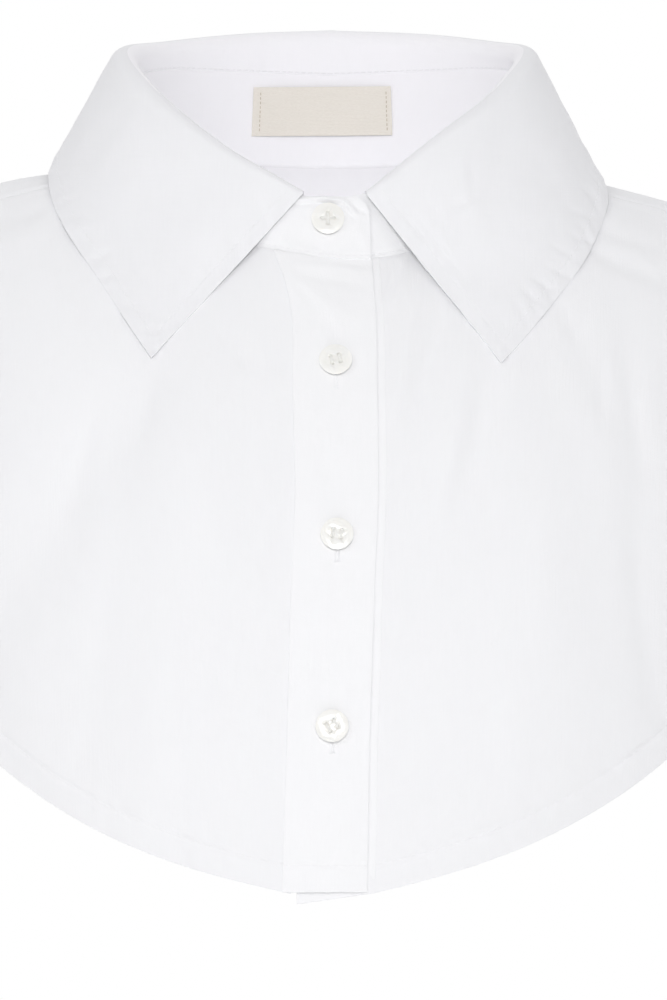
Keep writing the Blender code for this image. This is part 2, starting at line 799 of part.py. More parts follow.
def build_buttons(pearl, collection, cutters):
    """The band's button first, then those down the placket."""
    angle = math.degrees(math.asin(BAND_BUTTON.x / STAND_TOP_HALF_WIDTH))
    low = stand_point(angle, 0, STAND_LAP_LIFT)
    high = stand_point(angle, 1, STAND_LAP_LIFT)
    height = (BAND_BUTTON.z - low.z) / (high.z - low.z)
    centre = low.lerp(high, height)
    rise = (high - low).normalized()
    normal = Vector((1, 0, 0)).cross(rise).normalized()
    place_button(1, centre, normal, pearl, collection, cutters)
    for number, place in enumerate(PLACKET_BUTTONS, start=2):
        t = front_t_at(place.x, place.z)
        centre = front_point(place.x, t, TOP_PLACKET_LIFT)
        normal = normal_of(front_surface, place.x, t)
        place_button(number, centre, normal, pearl, collection, cutters)


def main():
    clear_scene()
    collection = make_collection(COLLECTION_NAME)
    cutters = make_collection("cutters")
    cloth = make_material("white_poplin", (0.86, 0.86, 0.85), 0.85)
    pearl = make_material("pearl_button", (0.80, 0.78, 0.73), 0.3)
    tape = make_material("ecru_tape", (0.74, 0.71, 0.62), 0.8)

    right = front_panel_grid(-1, "left", PLACKET_EDGE_GAP, PLACKET_LIFT)
    cloth_part("front_right", right, PANEL_WALL, cloth, collection, flip=True)
    left = front_panel_grid(1, "right", UNDER_SHOWS + PLACKET_EDGE_GAP, 0.0)
    cloth_part("front_left", left, PANEL_WALL, cloth, collection)
    build_plackets(cloth, collection)
    cloth_part("back", back_panel_grid(), PANEL_WALL, cloth, collection, flip=True)
    cloth_part("collar_stand", stand_grid(), COLLAR_WALL, cloth, collection)
    cloth_part("collar_fall", fall_grid(), COLLAR_WALL, cloth, collection)
    cloth_part("label", label_grid(), LABEL_WALL, tape, collection)
    build_buttons(pearl, collection, cutters)


main()
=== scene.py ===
# %% [markdown]
# # A detachable shirt collar on a short bib
# White poplin, cut and sewn as eight pieces of cloth and closed with four buttons.
# The model's solid parts come first, as a fixed frame. Every piece of cloth is then made
# again at full fineness on the same form, with its wrinkles, seams and stitches.
#
# Sizes are written in millimetres, as a cutter would, and become metres where a mesh is
# made. The wearer faces -Y, +X is the wearer's left and +Z is up.

# %% Load the frame
import math
from collections import namedtuple

import bmesh
import bpy
import numpy as np
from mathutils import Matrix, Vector


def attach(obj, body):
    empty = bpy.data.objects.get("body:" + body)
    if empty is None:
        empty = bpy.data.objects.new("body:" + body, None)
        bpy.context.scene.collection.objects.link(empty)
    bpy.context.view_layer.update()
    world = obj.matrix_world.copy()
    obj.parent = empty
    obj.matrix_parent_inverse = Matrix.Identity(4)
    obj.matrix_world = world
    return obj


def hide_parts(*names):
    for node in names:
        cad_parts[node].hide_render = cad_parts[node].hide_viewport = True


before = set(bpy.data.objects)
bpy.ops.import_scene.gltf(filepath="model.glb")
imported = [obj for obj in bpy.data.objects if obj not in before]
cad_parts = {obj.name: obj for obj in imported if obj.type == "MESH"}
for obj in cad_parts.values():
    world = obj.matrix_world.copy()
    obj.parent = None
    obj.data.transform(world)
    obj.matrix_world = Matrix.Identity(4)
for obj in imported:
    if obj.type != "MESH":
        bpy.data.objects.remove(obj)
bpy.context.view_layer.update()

MM = 0.001
print("nodes in the frame:", sorted(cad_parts))

# %% [markdown]
# ## Camera
# The picture is taken square on to the chest, from far away with a long lens, so that
# near and far parts keep nearly the same scale. The picture is 345 mm high at the front
# of the neck. It leaves out both side edges of the bib.

# %% Camera
PICTURE_HEIGHT = 345.0
PICTURE_CENTRE = (1.2, -100.0)
CAMERA_DISTANCE = 9500.0
NECK_FRONT_Y = -45.0

camera_data = bpy.data.cameras.new("camera")
camera_data.sensor_width = 36.0
camera_data.lens = camera_data.sensor_width * CAMERA_DISTANCE / PICTURE_HEIGHT
camera_data.clip_end = 40.0
camera = bpy.data.objects.new("camera", camera_data)
camera.location = (PICTURE_CENTRE[0] * MM, (NECK_FRONT_Y - CAMERA_DISTANCE) * MM,
                   PICTURE_CENTRE[1] * MM)
camera.rotation_euler = (math.radians(90), 0, 0)
bpy.context.scene.collection.objects.link(camera)
bpy.context.scene.camera = camera
print("lens", round(camera_data.lens), "mm")

# %% [markdown]
# ## Light
# White cloth on white needs very even light, or the folds turn grey. The sky is a white
# sweep behind the collar and a dimmer room in front, so that the cloth stays just darker
# than the white behind it. Three large soft lamps, two up at the sides and a stronger one
# in front, reach into the neck and give the folds their slight shading.

# %% Light and floor
SWEEP = 1.0
ROOM = 0.30


def area_lamp(name, place, target, size, power):
    """A square soft lamp that looks from its place at a target, in metres."""
    data = bpy.data.lights.new(name, "AREA")
    data.size = size
    data.energy = power
    lamp = bpy.data.objects.new(name, data)
    lamp.location = place
    aim = Vector(target) - Vector(place)
    lamp.rotation_euler = aim.to_track_quat("-Z", "Y").to_euler()
    bpy.context.scene.collection.objects.link(lamp)
    return lamp


sky = bpy.data.worlds.new("white_sweep")
sky.use_nodes = True
sky_nodes = sky.node_tree.nodes
sky_links = sky.node_tree.links
direction = sky_nodes.new("ShaderNodeTexCoord")
parts = sky_nodes.new("ShaderNodeSeparateXYZ")
ramp = sky_nodes.new("ShaderNodeMapRange")
ramp.interpolation_type = "SMOOTHSTEP"
for key, value in (("From Min", -0.5), ("From Max", 0.5), ("To Min", ROOM), ("To Max", SWEEP)):
    ramp.inputs[key].default_value = value
sky_links.new(direction.outputs["Generated"], parts.inputs[0])
sky_links.new(parts.outputs["Y"], ramp.inputs["Value"])
sky_links.new(ramp.outputs["Result"], sky_nodes["Background"].inputs["Strength"])
sky_nodes["Background"].inputs["Color"].default_value = (1.0, 1.0, 1.0, 1.0)
bpy.context.scene.world = sky
bpy.context.scene.view_settings.view_transform = "Standard"
area_lamp("key", (-1.9, -2.3, 1.6), (0, 0, -0.1), 1.2, 14.0)
area_lamp("side", (1.9, -1.8, 1.9), (0, 0, -0.1), 1.2, 8.0)
area_lamp("fill", (0.0, -3.4, 0.8), (0, 0, -0.1), 0.9, 44.0)

bpy.ops.mesh.primitive_plane_add(size=9.0, location=(0, 0, -0.8))
floor = bpy.context.object
floor.name = "floor"

# %% [markdown]
# ## Shader maths
# A finish is easier to read as a formula than as a web of nodes. The small class below
# wraps a socket, so that `1 - mask` or `grain * 0.02` adds the Math nodes for us.

# %% Helpers for finishes
class Socket:
    """A node's output that arithmetic can be written on."""

    def __init__(self, finish, socket):
        self.finish = finish
        self.socket = socket

    def maths(self, operation, first, second):
        return self.finish.node("ShaderNodeMath", {"operation": operation}, first, second)

    def __add__(self, other):
        return self.maths("ADD", self, other)

    def __sub__(self, other):
        return self.maths("SUBTRACT", self, other)

    def __rsub__(self, other):
        return self.maths("SUBTRACT", other, self)

    def __mul__(self, other):
        return self.maths("MULTIPLY", self, other)

    def sine(self):
        return self.maths("SINE", self, 0.0)

    __radd__ = __add__
    __rmul__ = __mul__


class Finish:
    """A material that is built by calls."""

    def __init__(self, name, roughness, **settings):
        self.material = bpy.data.materials.new(name)
        self.material.use_nodes = True
        self.tree = self.material.node_tree
        self.shader = self.tree.nodes["Principled BSDF"]
        self.shader.inputs["Roughness"].default_value = roughness
        for key, value in settings.items():
            self.shader.inputs[key.replace("_", " ")].default_value = value

    def feed(self, socket, value):
        if isinstance(value, Socket):
            self.tree.links.new(value.socket, socket)
        else:
            socket.default_value = value

    def node(self, kind, settings, *values, output=0, **named):
        """Any node: its settings first, then its sockets in order or by name."""
        made = self.tree.nodes.new(kind)
        for key, value in settings.items():
            setattr(made, key, value)
        for i, value in enumerate(values):
            self.feed(made.inputs[i], value)
        for key, value in named.items():
            self.feed(made.inputs[key], value)
        return Socket(self, made.outputs[output])

    def uv(self, name):
        """The two coordinates of a piece's own UV map."""
        place = self.node("ShaderNodeUVMap", {"uv_map": name})
        u = self.node("ShaderNodeSeparateXYZ", {}, place)
        v = Socket(self, u.socket.node.outputs["Y"])
        return u, v

    def noise(self, place, scale, detail=2.0):
        return self.node("ShaderNodeTexNoise", {}, Vector=place, Scale=scale, Detail=detail)

    def join(self, x, y, z=0.0):
        return self.node("ShaderNodeCombineXYZ", {}, x, y, z)

    def blend(self, factor, first, second):
        """A colour between two colours."""
        made = self.tree.nodes.new("ShaderNodeMix")
        made.data_type = "RGBA"
        self.feed(made.inputs[0], factor)
        for socket, colour in ((made.inputs[6], first), (made.inputs[7], second)):
            self.feed(socket, colour if isinstance(colour, Socket) else (*colour, 1.0))
        return Socket(self, made.outputs[2])

    def colour(self, value):
        self.feed(self.shader.inputs["Base Color"], value)

    def roughness(self, value):
        self.feed(self.shader.inputs["Roughness"], value)

    def bump(self, height, depth):
        made = self.node("ShaderNodeBump", {}, Height=height, Distance=depth)
        self.feed(self.shader.inputs["Normal"], made)


# %% [markdown]
# ## Poplin
# Poplin has many fine upright threads and fewer, thicker ones across, which gives a
# smooth cloth with a faint upright rib. The cloth's UV map is in metres along the threads,
# so a rib is a sine of the map. Each thread is a little thick here and thin there, which
# a long thin noise gives, and this shows more from a distance than the threads do.

# %% Poplin, thread, tape and button finishes
def poplin_finish(name, dark, light):
    finish = Finish(name, 0.82, Sheen_Weight=0.12, Sheen_Roughness=0.5)
    u, v = finish.uv("cloth")
    rib = (u * (math.tau / 0.00042)).sine()
    pick = (v * (math.tau / 0.00060)).sine()
    slub = finish.noise(finish.join(u * 1500.0, v * 90.0), 1.0)
    cross = finish.noise(finish.join(u * 110.0, v * 1300.0), 1.0)
    cloud = finish.noise(finish.join(u * 26.0, v * 14.0), 1.0)
    tone = slub * 0.5 + cross * 0.22 + cloud * 0.28
    finish.colour(finish.blend(tone, dark, light))
    finish.roughness(slub * 0.12 + 0.76)
    finish.bump(rib * 0.08 + pick * 0.04 + slub * 1.1 + cross * 0.5, 0.00006)
    return finish.material


def thread_finish(name, dark, light, sheen=0.2):
    finish = Finish(name, 0.6, Sheen_Weight=sheen)
    place = finish.node("ShaderNodeTexCoord", {}, output=3)
    twist = finish.noise(place, 3000.0)
    finish.colour(finish.blend(twist, dark, light))
    finish.bump(twist, 0.0001)
    return finish.material


def tape_finish():
    finish = Finish("ecru_tape", 0.8, Sheen_Weight=0.1)
    u, v = finish.uv("cloth")
    rib = (u * (math.tau / 0.00035)).sine()
    pick = (v * (math.tau / 0.00050)).sine()
    slub = finish.noise(finish.join(u * 900.0, v * 2600.0), 1.0)
    finish.colour(finish.blend(slub, (0.835, 0.785, 0.71), (0.935, 0.89, 0.82)))
    finish.bump(rib * 0.3 + pick * 0.3 + slub * 0.8, 0.00008)
    return finish.material


def pearl_finish():
    finish = Finish("pearl_button", 0.3, Coat_Weight=0.15, Coat_Roughness=0.2,
                    Subsurface_Weight=0.5, Subsurface_Scale=0.002,
                    Subsurface_Radius=(1.0, 0.95, 0.9))
    place = finish.node("ShaderNodeTexCoord", {}, output=3)
    swirl = finish.noise(place, 260.0, 4.0)
    cloud = finish.noise(place, 90.0, 1.0)
    tone = swirl * 0.7 + cloud * 0.3
    finish.colour(finish.blend(tone, (0.93, 0.905, 0.845), (0.99, 0.98, 0.945)))
    finish.roughness(swirl * 0.2 + 0.12)
    finish.bump(cloud, 0.0002)
    return finish.material


poplin = poplin_finish("poplin", (0.87, 0.87, 0.89), (0.91, 0.91, 0.93))
double_poplin = poplin_finish("double_poplin", (0.895, 0.895, 0.913), (0.935, 0.935, 0.953))
# The collar's poplin is a darker copy of the body's cloth: painted shade for the leaves that
# turn away from the light.
collar_poplin_painted_shade = poplin_finish("collar_poplin_painted_shade", (0.845, 0.845, 0.868), (0.885, 0.885, 0.908))
# The inner faces get a brighter copy of the poplin: painted light that lifts the shade inside
# the neck.
lit_inner_poplin = poplin_finish("inner_poplin_painted_light", (0.945, 0.935, 0.968), (0.972, 0.962, 0.99))
thread = thread_finish("white_thread", (0.86, 0.86, 0.885), (0.93, 0.93, 0.95))
button_thread = thread_finish("cream_thread", (0.93, 0.92, 0.89), (0.97, 0.965, 0.94))
ecru_thread = thread_finish("ecru_thread", (0.46, 0.38, 0.28), (0.66, 0.58, 0.46), sheen=0.0)
tape = tape_finish()
pearl = pearl_finish()
print("finishes:", poplin.name, thread.name, tape.name, pearl.name)


def floor_finish():
    finish = Finish("pale_floor", 0.9)
    place = finish.node("ShaderNodeTexCoord", {}, output=3)
    cloud = finish.noise(place, 3.0)
    finish.colour(finish.blend(cloud, (0.90, 0.90, 0.90), (0.93, 0.93, 0.93)))
    return finish.material


floor.data.materials.append(floor_finish())

# %% [markdown]
# ## The form that the cloth follows
# The same tables as in the solid part give the form: the ring of the neck seam, the
# shoulder line, and sections down the front and the back. A smooth curve runs through
# each column of a table. The functions take whole arrays, so a fine grid costs little.

# %% Curves through tables
def curve(places, values, at):
    """Values at places, on a smooth curve through known values."""
    places = np.asarray(places, float)
    values = np.asarray(values, float)
    slopes = np.gradient(values, places)
    at = np.clip(at, places[0], places[-1])
    i = np.clip(np.searchsorted(places, at, "right") - 1, 0, len(places) - 2)
    span = places[i + 1] - places[i]
    t = (at - places[i]) / span
    start = values[i] * (2 * t**3 - 3 * t**2 + 1) + span * slopes[i] * (t**3 - 2 * t**2 + t)
    end = values[i + 1] * (3 * t**2 - 2 * t**3) + span * slopes[i + 1] * (t**3 - t**2)
    return start + end


def column(rows, name, at):
    """A table's column at places along its first column."""
    return curve([row[0] for row in rows], [getattr(row, name) for row in rows], at)


def smooth_step(t):
    t = np.clip(t, 0.0, 1.0)
    return t * t * (3 - 2 * t)


def xyz(x, y, z):
    return np.stack(np.broadcast_arrays(x, y, z), -1).astype(float)


def unit(vectors):
    return vectors / np.linalg.norm(vectors, axis=-1, keepdims=True)


def bezier(a, b, c, d, t):
    t = np.asarray(t)[..., None]
    s = 1 - t
    return a * s**3 + b * 3 * s * s * t + c * 3 * s * t * t + d * t**3


# %% [markdown]
# ## Neck, shoulders and body
# The neck seam is an oval ring that tilts down to the front and rises at the sides, as a
# neck does. Outside it the cloth starts at the shoulder line, which is a little lower on
# the wearer's left.

# %% Sizes of the form
NECK_HALF_WIDTH = 70.0
NECK_FRONT_DEPTH = 58.0
NECK_BACK_DEPTH = 57.0
NECK_TILT = 16.0
NECK_SADDLE = 14.0
BODY_HALF_WIDTH = 172.0
BODY_ROUNDNESS = 0.6
FRONT_DEPTH = 119.0
BACK_DEPTH = 92.0
SIDE_TOP_X = 160.0
SIDE_HEM_X = 165.0
SIDE_BULGE = 2.0
HEM_CORNER_START = 105.0

HemLaw = namedtuple("HemLaw", "centre slope cube corner")
FRONT_HEM = {
    -1: HemLaw(-237.5, 0.20, 1.6e-5, 40.0),
    1: HemLaw(-238.0, 0.22, 1.5e-5, 41.0),
}
BACK_HEM = {
    -1: HemLaw(-200.0, 0.0, 1.9e-5, 26.0),
    1: HemLaw(-200.0, 0.0, 1.9e-5, 26.0),
}

Shoulder = namedtuple("Shoulder", "x seam_y seam_z rise")
SHOULDER = {
    -1: [
        Shoulder(70, -1, 14.0, 3),
        Shoulder(85, -10, 11.4, 21),
        Shoulder(97, -14, 8.3, 33),
        Shoulder(114, -14, 4.0, 38),
        Shoulder(137, -14, -4.0, 36),
        Shoulder(165, -14, -15.0, 30),
    ],
    1: [
        Shoulder(70, -1, 14.0, 3),
        Shoulder(85, -10, 9.8, 19),
        Shoulder(97, -13, 5.2, 27),
        Shoulder(114, -10, 0.9, 26),
        Shoulder(137, -10, -6.6, 26),
        Shoulder(165, -10, -17.6, 26),
    ],
}

FrontSection = namedtuple("FrontSection", "x angle top_pull hem_pull")
FRONT_SECTIONS = [
    FrontSection(0, 33, 75, 80),
    FrontSection(30, 36, 75, 80),
    FrontSection(50, 46, 75, 80),
    FrontSection(62, 57, 75, 80),
    FrontSection(70, 65, 75, 80),
    FrontSection(97, 66, 62, 78),
    FrontSection(115, 62, 50, 68),
    FrontSection(165, 45, 20, 40),
]

BackSection = namedtuple("BackSection", "x reach drop hem_pull")
BACK_CORNER_RISE = 3.0
BACK_SECTIONS = [
    BackSection(0, 26, 36, 80),
    BackSection(30, 30, 34, 80),
    BackSection(50, 38, 26, 80),
    BackSection(62, 48, 14, 80),
    BackSection(70, 56, 0, 80),
    BackSection(97, 52, 0, 76),
    BackSection(115, 46, 0, 70),
    BackSection(165, 30, 0, 45),
]


# %% The form as functions
def by_side(x, value_of):
    """A value that each side of the body has its own law for."""
    return np.where(x > 0, value_of(1, np.abs(x)), value_of(-1, np.abs(x)))


def hem_height(laws, x):
    def height(side, reach):
        law = laws[side]
        corner = np.clip((reach - HEM_CORNER_START) / (SIDE_HEM_X - HEM_CORNER_START), 0, None)
        return law.centre + law.slope * reach + law.cube * reach**3 + law.corner * corner**4

    return by_side(x, height)


def shoulder(x, name):
    return by_side(x, lambda side, reach: column(SHOULDER[side], name, reach))


def body_depth(depth, x):
    return depth * (1 - (x / BODY_HALF_WIDTH) ** 2) ** BODY_ROUNDNESS


def neck_seam(angle):
    """The neck seam: 0 is the front, pi the back, and the sign is the side."""
    depth = np.where(np.cos(angle) > 0, NECK_FRONT_DEPTH, NECK_BACK_DEPTH)
    z = -NECK_TILT * np.cos(angle) + NECK_SADDLE * np.sin(angle) ** 2
    return xyz(NECK_HALF_WIDTH * np.sin(angle), -depth * np.cos(angle), z)


SeamShift = namedtuple("SeamShift", "x z")
SEAM_SHIFTS = [
    SeamShift(-60, 0.0),
    SeamShift(-36, 0.5),
    SeamShift(-18, 0.9),
    SeamShift(-8, 0.4),
    SeamShift(0, -0.4),
    SeamShift(14, -1.5),
    SeamShift(22, -1.6),
    SeamShift(40, -0.7),
    SeamShift(60, 0.0),
]


def seam_shift(x, share):
    """How far the front of the neck seam hangs out of its ring, fading with a share."""
    return column(SEAM_SHIFTS, "z", x) * (1 - smooth_step(share))


def panel_top(x, back):
    """Where a panel starts: at the neck seam, or outside it at the shoulder seam."""
    angle = np.arcsin(np.clip(x / NECK_HALF_WIDTH, -1, 1))
    ring = neck_seam(math.pi - angle if back else angle)
    seam = xyz(x, shoulder(x, "seam_y"), shoulder(x, "seam_z"))
    return np.where((np.abs(x) < NECK_HALF_WIDTH)[..., None], ring, seam)


def front_surface(x, t):
    """The front at x; t runs from 0 at the top edge to 1 at the hem."""
    top = panel_top(x, False)
    hem = xyz(x, -body_depth(FRONT_DEPTH, x), hem_height(FRONT_HEM, x))
    angle = np.radians(column(FRONT_SECTIONS, "angle", np.abs(x)))
    pull = column(FRONT_SECTIONS, "top_pull", np.abs(x))
    leave = xyz(0, -np.sin(angle) * pull, -np.cos(angle) * pull)
    arrive = xyz(0, 0, column(FRONT_SECTIONS, "hem_pull", np.abs(x)))
    return bezier(top, top + leave, hem + arrive, hem, t)


def back_surface(x, t):
    """The back at x; t runs from 0 at the top edge to 1 at the hem."""
    reach = np.abs(x)
    top = panel_top(x, True)
    hem = xyz(x, body_depth(BACK_DEPTH, x), hem_height(BACK_HEM, x))
    corner = BACK_CORNER_RISE * (np.minimum(reach, NECK_HALF_WIDTH) / NECK_HALF_WIDTH) ** 6
    rise = np.where(reach > NECK_HALF_WIDTH, shoulder(x, "rise"), corner)
    drop = column(BACK_SECTIONS, "drop", reach)
    leave = xyz(0, column(BACK_SECTIONS, "reach", reach), rise - drop)
    arrive = xyz(0, 0, column(BACK_SECTIONS, "hem_pull", reach))
    return bezier(top, top + leave, hem + arrive, hem, t)


TABLE_REACH = 168
TABLE_ROWS = 111
TABLE_T = 1.1


def relaxed_table(surface):
    """A form on a fine table, each row averaged with its neighbours to the left and
    right, so that the sharp change where the neck's ring meets the shoulder is gone."""
    x = np.arange(-TABLE_REACH, TABLE_REACH + 1.0)
    t = np.linspace(0, TABLE_T, TABLE_ROWS)
    table = surface(x[None], t[:, None])
    steps = np.arange(-36, 37)
    for k, share in enumerate(smooth_step(t / 0.22)):
        weights = np.exp(-0.5 * (steps / (3 + 10 * share)) ** 2)
        weights /= weights.sum()
        for axis in (1, 2):
            row = np.pad(table[k, :, axis], 36, "reflect", reflect_type="odd")
            table[k, :, axis] = np.convolve(row, weights, "valid")
    return table


RELAXED = {
    front_surface: relaxed_table(front_surface),
    back_surface: relaxed_table(back_surface),
}


def spline_weights(f):
    """Weights of four neighbours for a smooth curve through a row of values."""
    return ((2 * f**2 - f**3 - f) / 2, (3 * f**3 - 5 * f**2 + 2) / 2,
            (f + 4 * f**2 - 3 * f**3) / 2, (f**3 - f**2) / 2)


def relaxed(surface, x, t):
    """The form at x and t from its relaxed table, with the top edge and hem kept."""
    x, t = np.broadcast_arrays(np.asarray(x, float), t)
    table = RELAXED[surface]
    u = np.clip(x + TABLE_REACH, 0, 2 * TABLE_REACH - 0.001)
    v = np.clip(t / TABLE_T * (TABLE_ROWS - 1), 0, TABLE_ROWS - 1.001)
    i = np.floor(u).astype(int)
    j = np.floor(v).astype(int)
    smooth = np.zeros(x.shape + (3,))
    for m, weight_u in enumerate(spline_weights(u - i)):
        for n, weight_v in enumerate(spline_weights(v - j)):
            column_at = np.clip(i + m - 1, 0, 2 * TABLE_REACH)
            row_at = np.clip(j + n - 1, 0, TABLE_ROWS - 1)
            smooth += table[row_at, column_at] * (weight_u * weight_v)[..., None]
    exact = surface(x, t)
    top = (1 - smooth_step(t / 0.12))[..., None]
    point = smooth * (1 - top) + exact * top
    near_hem = smooth_step((t - 0.5) / 0.4)
    return xyz(x, point[..., 1], point[..., 2] * (1 - near_hem) + exact[..., 2] * near_hem)


def front_t_at(x, z):
    """The t at which the relaxed front reaches a height, by halving."""
    x, z = np.broadcast_arrays(np.asarray(x, float), z)
    low = np.zeros(x.shape)
    high = np.full(x.shape, 1.1)
    for _ in range(24):
        middle = (low + high) / 2
        above = relaxed(front_surface, x, middle)[..., 2] > z
        low = np.where(above, middle, low)
        high = np.where(above, high, middle)
    return (low + high) / 2


def normals(surface, x, t):
    """Which way a surface faces, from two small steps on it."""
    step = 0.01
    t = np.clip(t, step, 1 - step)
    aside = np.minimum(8, (BODY_HALF_WIDTH - 2 - np.abs(x)) / 2)
    aside = 0.5 + aside * smooth_step(t / 0.22)
    across = surface(x + aside, t) - surface(x - aside, t)
    down = surface(x, t + step) - surface(x, t - step)
    facing = unit(np.cross(across, down))
    return -facing if surface is front_surface else facing


print("hem at the centre:", front_surface(np.array(0.0), np.array(1.0)).round(1))

# %% [markdown]
# ## Folds and creases
# Every fold is one row of a table: its two ends in the front view, its half-width and its
# depth, below zero for a trough. Given one by one, the rows can be as uneven as real
# folds are. A field of soft noise adds the slight waviness that pressed cotton keeps.

# %% Fold tables
Fold = namedtuple("Fold", "x0 z0 x1 z1 half_width depth")
FRONT_FOLDS = [
    Fold(-64, -58, -112, -138, 17, -3.4),
    Fold(-46, -62, -62, -205, 15, 1.5),
    Fold(-30, -52, -24, -118, 9, -1.0),
    Fold(101, -30, 108, -125, 9, -1.3),
    Fold(66, -60, 78, -190, 18, 1.8),
]
FRONT_CREASES = [
    Fold(-33.5, -47.0, -27.0, -55.5, 1.9, -0.55),
    Fold(-37.5, -40.0, -33.5, -47.0, 3.0, -0.5),
    Fold(-103, -18.6, -87, -18.9, 0.9, -0.22),
    Fold(-80, -66, -92, -104, 5.0, -0.8),
    Fold(-63, -60, -66, -78, 4.0, -0.7),
    Fold(-55, -118, -50, -230, 4.5, -0.5),
    Fold(-44, -112, -41, -222, 5.0, -0.4),
    Fold(-72, -96, -84, -190, 7.0, -0.6),
    Fold(-20, -70, -24, -190, 6.0, -0.35),
    Fold(-97, 2.8, -104.5, -1.4, 3.2, -0.8),
    Fold(-104.5, -1.4, -116, -2.6, 3.6, -0.8),
    Fold(-99, -7, -120, -14, 5.0, 0.4),
    Fold(-118, -40, -140, -110, 9.0, -1.2),
    Fold(57, -52, 45, -100, 5.6, -1.3),
    Fold(47.5, -50, 37.5, -104, 5.6, 1.0),
    Fold(40, -33, 27.5, -70, 5.0, -1.5),
    Fold(29.5, -30, 21.5, -72, 5.0, 1.0),
    Fold(20, -57.0, 26, -55.5, 1.6, -0.5),
    Fold(22.5, -18, 18.6, -30, 2.2, -0.8),
    Fold(26.5, -20, 20.6, -34, 2.0, 0.6),
    Fold(79, -33, 85, -45, 2.4, -0.9),
    Fold(94, -45, 93.5, -76, 1.6, -0.5),
    Fold(103, -50, 108, -90, 3.5, -0.7),
    Fold(74, -94.5, 80, -94.0, 1.0, -0.3),
    Fold(93, -6.9, 101.8, -9.0, 2.8, -0.7),
    Fold(101.8, -9.0, 112, -12.4, 3.0, -0.6),
    Fold(90.4, -13.1, 97.0, -16.8, 3.0, -0.9),
    Fold(97.0, -16.8, 112, -23.1, 3.6, -1.1),
    Fold(112, -23.1, 132, -29.5, 4.6, -0.9),
    Fold(84, -36, 96, -72, 6.0, -0.9),
    Fold(104, -110, 112, -175, 6.0, -0.8),
    Fold(60, -120, 64, -215, 8.0, 0.5),
    Fold(122, -60, 146, -130, 9.0, -1.2),
]
BACK_FOLDS = [
    Fold(-78, -20, -104, -120, 17, -2.6),
    Fold(-30, -40, -36, -165, 16, 1.6),
    Fold(24, -30, 30, -150, 14, -1.4),
    Fold(74, -24, 98, -130, 16, -2.8),
]
BACK_CREASES = [
    Fold(-52, -18, -44, -70, 5.0, -0.7),
    Fold(12, -22, 6, -88, 5.5, 0.5),
    Fold(48, -14, 60, -84, 6.0, -0.8),
    Fold(-100, -6, -126, -62, 7.0, -0.9),
    Fold(-8, -96, -14, -180, 6.0, -0.5),
    Fold(108, -18, 134, -80, 7.5, 0.8),
    Fold(52, -92, 56, -172, 6.0, -0.6),
    Fold(-66, -120, -70, -178, 6.5, 0.6),
]
FOLD_SHARPNESS = 1.6


def fold_depth(folds, x, z):
    """How far the folds move the cloth out at places in the front view."""
    total = np.zeros(np.broadcast(x, z).shape)
    for fold in folds:
        run = np.array((fold.x1 - fold.x0, fold.z1 - fold.z0))
        along = ((x - fold.x0) * run[0] + (z - fold.z0) * run[1]) / run.dot(run)
        along = np.clip(along, 0.0, 1.0)
        aside = np.hypot(x - fold.x0 - run[0] * along, z - fold.z0 - run[1] * along)
        fade = 0.25 + 0.75 * np.sin(math.pi * (0.08 + 0.84 * along))
        total += fold.depth * fade * np.exp(-FOLD_SHARPNESS * (aside / fold.half_width) ** 2)
    return total


def soft_noise(u, v, seed):
    """Smooth noise from -1 to 1 with one bump for each unit of u and v."""
    lattice = np.random.default_rng(seed).uniform(-1, 1, (64, 64))
    i = np.floor(u).astype(int)
    j = np.floor(v).astype(int)
    a = smooth_step(u - i)
    b = smooth_step(v - j)
    near = lattice[i % 64, j % 64] * (1 - a) + lattice[(i + 1) % 64, j % 64] * a
    far = lattice[i % 64, (j + 1) % 64] * (1 - a) + lattice[(i + 1) % 64, (j + 1) % 64] * a
    return near * (1 - b) + far * b


def draped_front(x, t, lift=0.0):
    """The front with its folds, moved out by lift square to the cloth, or level with the
    neck seam near the top."""
    base = relaxed(front_surface, x, t)
    facing = normals(front_surface, x, t)
    share = smooth_step((t - 0.02) / 0.167)
    z = base[..., 2]
    drape = fold_depth(FRONT_FOLDS, x, z) * share + fold_depth(FRONT_CREASES, x, z)
    drape = drape + soft_noise(x / 13 + 9, z / 34 + 9, 3) * 0.32 * share
    angle = np.arcsin(np.clip(x / NECK_HALF_WIDTH, -0.9, 0.9))
    level = xyz(np.sin(angle), -np.cos(angle), 0)
    level = level / np.maximum((level * facing).sum(-1, keepdims=True), 0.2)
    turn = smooth_step(t / 0.1)[..., None]
    away = level * (1 - turn) + facing * turn
    point = base + facing * drape[..., None] + away * np.asarray(lift)[..., None]
    point[..., 2] += seam_shift(x, t / 0.14)
    return point


def draped_back(x, t):
    base = relaxed(back_surface, x, t)
    z = base[..., 2]
    share = smooth_step((t - 0.2) / 0.2)
    drape = fold_depth(BACK_FOLDS, x, z) + fold_depth(BACK_CREASES, x, z)
    drape = (drape + soft_noise(x / 15 + 5, z / 36 + 9, 8) * 0.35) * share
    return base + normals(back_surface, x, t) * drape[..., None]


print("deepest fold of the front:", min(fold.depth for fold in FRONT_FOLDS), "mm")

# %% [markdown]
# ## From a grid of points to a piece of cloth
# A real piece is cut flat and then shaped, and the model does the same: a flat grid is
# added, each vertex moves to its place on the form, Solidify gives the cloth its
# thickness inwards, and a small bevel rounds the edges, as a turned edge is round. The
# flat grid's places go into the UV map in metres, so that the weave follows the cloth.

# %% Making cloth
def deselect():
    bpy.ops.object.select_all(action="DESELECT")


def finish_modifiers(piece):
    """Applies a piece's modifiers in order, as pressing Apply would."""
    deselect()
    piece.select_set(True)
    bpy.context.view_layer.objects.active = piece
    for modifier in list(piece.modifiers):
        bpy.ops.object.modifier_apply(modifier=modifier.name)


def lengths_along(points, axis):
    """Distance along a grid's rows or columns, from the first point."""
    steps = np.linalg.norm(np.diff(points, axis=axis), axis=-1)
    total = np.cumsum(steps, axis=axis)
    start = np.zeros_like(np.take(total, [0], axis=axis))
    return np.concatenate([start, total], axis=axis)


